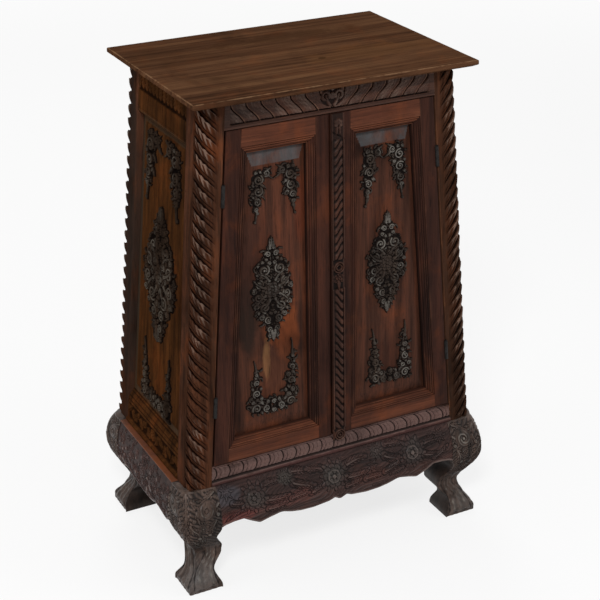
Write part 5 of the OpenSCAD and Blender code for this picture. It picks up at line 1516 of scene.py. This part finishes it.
def makeApron(name, node, half, axis, keys, carve, turn, ledgeWear):
    # the carved face follows the leg's swell over a scalloped edge with a rim; the top is a plain ledge
    foot, top = stand["foot" + axis], stand["top" + axis]
    x = bothEnds(-half, half, 1.0)
    v = np.linspace(0, 1, 96)
    low = edgeLine(x, half, keys)
    low = np.convolve(np.pad(low, 2, "edge"), np.ones(5) / 5, "valid")
    zGrid = low[:, None] + v[None] * (cabinet["standTop"] - low)[:, None]
    xGrid = np.repeat(x[:, None], len(v), 1)
    carveZ = bothEnds(100.0, 204.0, 0.8)
    carved = carve(x, carveZ)
    col = np.clip((zGrid - carveZ[0]) / (carveZ[-1] - carveZ[0]) * (len(carveZ) - 1), 0, len(carveZ) - 1.001)
    i0 = col.astype(int)
    rows = np.arange(len(x))[:, None]
    field = carved[rows, i0] * (1 - (col - i0)) + carved[rows, i0 + 1] * (col - i0)
    up = zGrid - low[:, None]
    lip = smooth(up, 0.6, 1.6) * (1 - smooth(up, 4.6, 6.0))
    near = 1 - smooth(up, 5.0, 7.0)
    field = field * (1 - near) + (-2.6 + 2.2 * lip) * near
    topFlat = smooth(zGrid, 200.0, 202.0)
    field = np.minimum(field * (1 - topFlat) - 0.2 * topFlat, -0.05)
    relief = np.clip((field + stand["carveDeep"]) / stand["carveDeep"], 0, 1)
    relief = relief * (1 - topFlat) + (0.35 + 0.4 * ledgeWear) * topFlat
    yGrid = legOut(zGrid, foot, top) + field
    front = np.stack([xGrid, -yGrid, zGrid], -1)
    inner = min(foot, top) - stand["apronThick"]
    level = np.full_like(x, cabinet["standTop"])
    ledge = np.stack([x, np.full_like(x, -inner), level], -1)[:, None]
    nearLedge = np.stack([x, -legOut(level, foot, top) + 1.2, level], -1)[:, None]
    front = np.concatenate([front, nearLedge, ledge], 1)
    relief = np.concatenate([relief, np.full((len(x), 2), 0.66)], 1)
    back = front.copy()
    back[..., 1] = -inner
    back[:, -1, 2] -= 1.0
    wear = np.zeros(relief.shape)
    wear[:, -4:] = ledgeWear
    spin = np.array(Matrix.Rotation(turn, 3, "Z")).T
    board(name, front @ spin, back @ spin, "apronTeak", "case", [node], relief, wear, 70)


halfX = stand["footX"] - stand["footSize"] + 2
halfY = halfX - (stand["footX"] - stand["footY"])
for word, turn in (("front", 0.0), ("back", np.pi)):
    makeApron("flowerApron" + word.capitalize(), "apron_" + word, halfX, "Y", apron["frontEdge"],
              carveFrontApron, turn, 0.0)
for side, word in sides:
    makeApron("foliageApron" + word.capitalize(), "apron_" + word, halfY, "X", apron["sideEdge"],
              carveSideApron, side * np.pi / 2, 0.66)
print("aprons made")


# what stays as constructed gets its own finish
for nodeName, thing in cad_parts.items():
    if "hinge" in nodeName:
        finish = hingeIron
    elif nodeName == "back_panel":
        finish = wooden["backTeak"]
    elif nodeName == "shelf_cleats":
        finish = wooden["insideUpright"]
    else:
        finish = wooden["insideTeak"]
    thing.data.materials.clear()
    thing.data.materials.append(finish)
print("carried-over nodes finished")


# stage, lamps and camera
studio = {
    "floor": 9.0, "soft": 0.34, "floorLift": 0.78,
    "lamps": [("key", (-1.5, -2.3, 3.0), 0.8, 78.0), ("fill", (2.4, -1.6, 1.7), 1.6, 20.0),
              ("leftSide", (-3.0, 0.6, 1.7), 1.5, 15.0), ("rear", (0.6, 2.6, 2.4), 1.6, 26.0)],
}
camera = {
    "place": (-1.1328, -2.2110, 1.6198), "azimuth": -27.48, "elevation": 25.46, "roll": -0.21, "lens": 90.34,
}


def seenRay(add):  # 1 for rays of the camera, and for those that show the background in metal and glass
    rays = add("ShaderNodeLightPath", {}, {})
    outs = rays.socket.node.outputs
    seen = Wire(rays.shop, outs["Is Camera Ray"]) + Wire(rays.shop, outs["Is Glossy Ray"])
    return (seen + Wire(rays.shop, outs["Is Transmission Ray"])).clamp()


def makeStage():
    mesh = bpy.data.meshes.new("floor")
    s = studio["floor"]
    mesh.from_pydata([(-s, -s, 0), (s, -s, 0), (s, s, 0), (-s, s, 0)], [], [(0, 1, 2, 3)])
    floor = bpy.data.objects.new("floor", mesh)
    bpy.context.scene.collection.objects.link(floor)
    paleFloor, shop = newMaterial("paleFloor")
    grain = shop.noise(shop.place((40, 40, 40)), 3.0, 0.5)
    colour = shop.mix(grain * 0.04, (0.95, 0.95, 0.95, 1.0), (0.90, 0.90, 0.90, 1.0))
    matt = shop.add("ShaderNodeBsdfDiffuse", {}, {0: colour})
    white = shop.add("ShaderNodeEmission", {}, {0: (1.0, 1.0, 1.0, 1.0), 1: 1.0})
    far = shop.add("ShaderNodeVectorMath", {"operation": "LENGTH"}, {0: shop.place((1, 1, 1))},
                   1).band(1.5, 5.5)
    lift = seenRay(shop.add) * (far * (1.0 - studio["floorLift"]) + studio["floorLift"])
    both = shop.add("ShaderNodeMixShader", {}, {0: lift, 1: matt, 2: white})
    shop.add("ShaderNodeOutputMaterial", {}, {0: both})
    mesh.materials.append(paleFloor)
    world = bpy.data.worlds.new("studio")
    bpy.context.scene.world = world
    world.use_nodes = True
    sky = Shop(world.node_tree)
    soft = sky.add("ShaderNodeBackground", {}, {0: (1.0, 1.0, 1.0, 1.0), 1: studio["soft"]})
    seen = sky.add("ShaderNodeBackground", {}, {0: (1.0, 1.0, 1.0, 1.0), 1: 1.0})
    both = sky.add("ShaderNodeMixShader", {}, {0: seenRay(sky.add), 1: soft, 2: seen})
    sky.add("ShaderNodeOutputWorld", {}, {0: both})


def makeLamp(name, where, size, power):  # a square lamp that looks at the middle of the cabinet
    lamp = bpy.data.lights.new(name, "AREA")
    lamp.shape, lamp.size, lamp.energy = "SQUARE", size, power
    thing = bpy.data.objects.new(name, lamp)
    bpy.context.scene.collection.objects.link(thing)
    away = np.array(where) - np.array((0, 0, 0.5))
    away = away / np.linalg.norm(away)
    side = np.cross([0, 0, 1.0], away)
    side = side / np.linalg.norm(side)
    up = np.cross(away, side)
    thing.matrix_world = Matrix([[side[k], up[k], away[k], where[k]] for k in range(3)] + [[0, 0, 0, 1]])


def makeCamera():
    lensBody = bpy.data.cameras.new("view")
    lensBody.lens, lensBody.sensor_width, lensBody.sensor_fit = camera["lens"], 36.0, "HORIZONTAL"
    thing = bpy.data.objects.new("view", lensBody)
    bpy.context.scene.collection.objects.link(thing)
    a, e, r = np.radians([camera["azimuth"], camera["elevation"], camera["roll"]])
    back = np.array([np.sin(a) * np.cos(e), -np.cos(a) * np.cos(e), np.sin(e)])
    right = np.array([np.cos(a), np.sin(a), 0.0])
    up = np.cross(back, right)
    across, above = np.cos(r) * right + np.sin(r) * up, -np.sin(r) * right + np.cos(r) * up
    rows = [[across[k], above[k], back[k], camera["place"][k]] for k in range(3)]
    thing.matrix_world = Matrix(rows + [[0, 0, 0, 1]])
    bpy.context.scene.camera = thing


makeStage()
for lampRow in studio["lamps"]:
    makeLamp(*lampRow)
makeCamera()
bpy.context.scene.view_settings.view_transform = "Standard"
print("stage made")
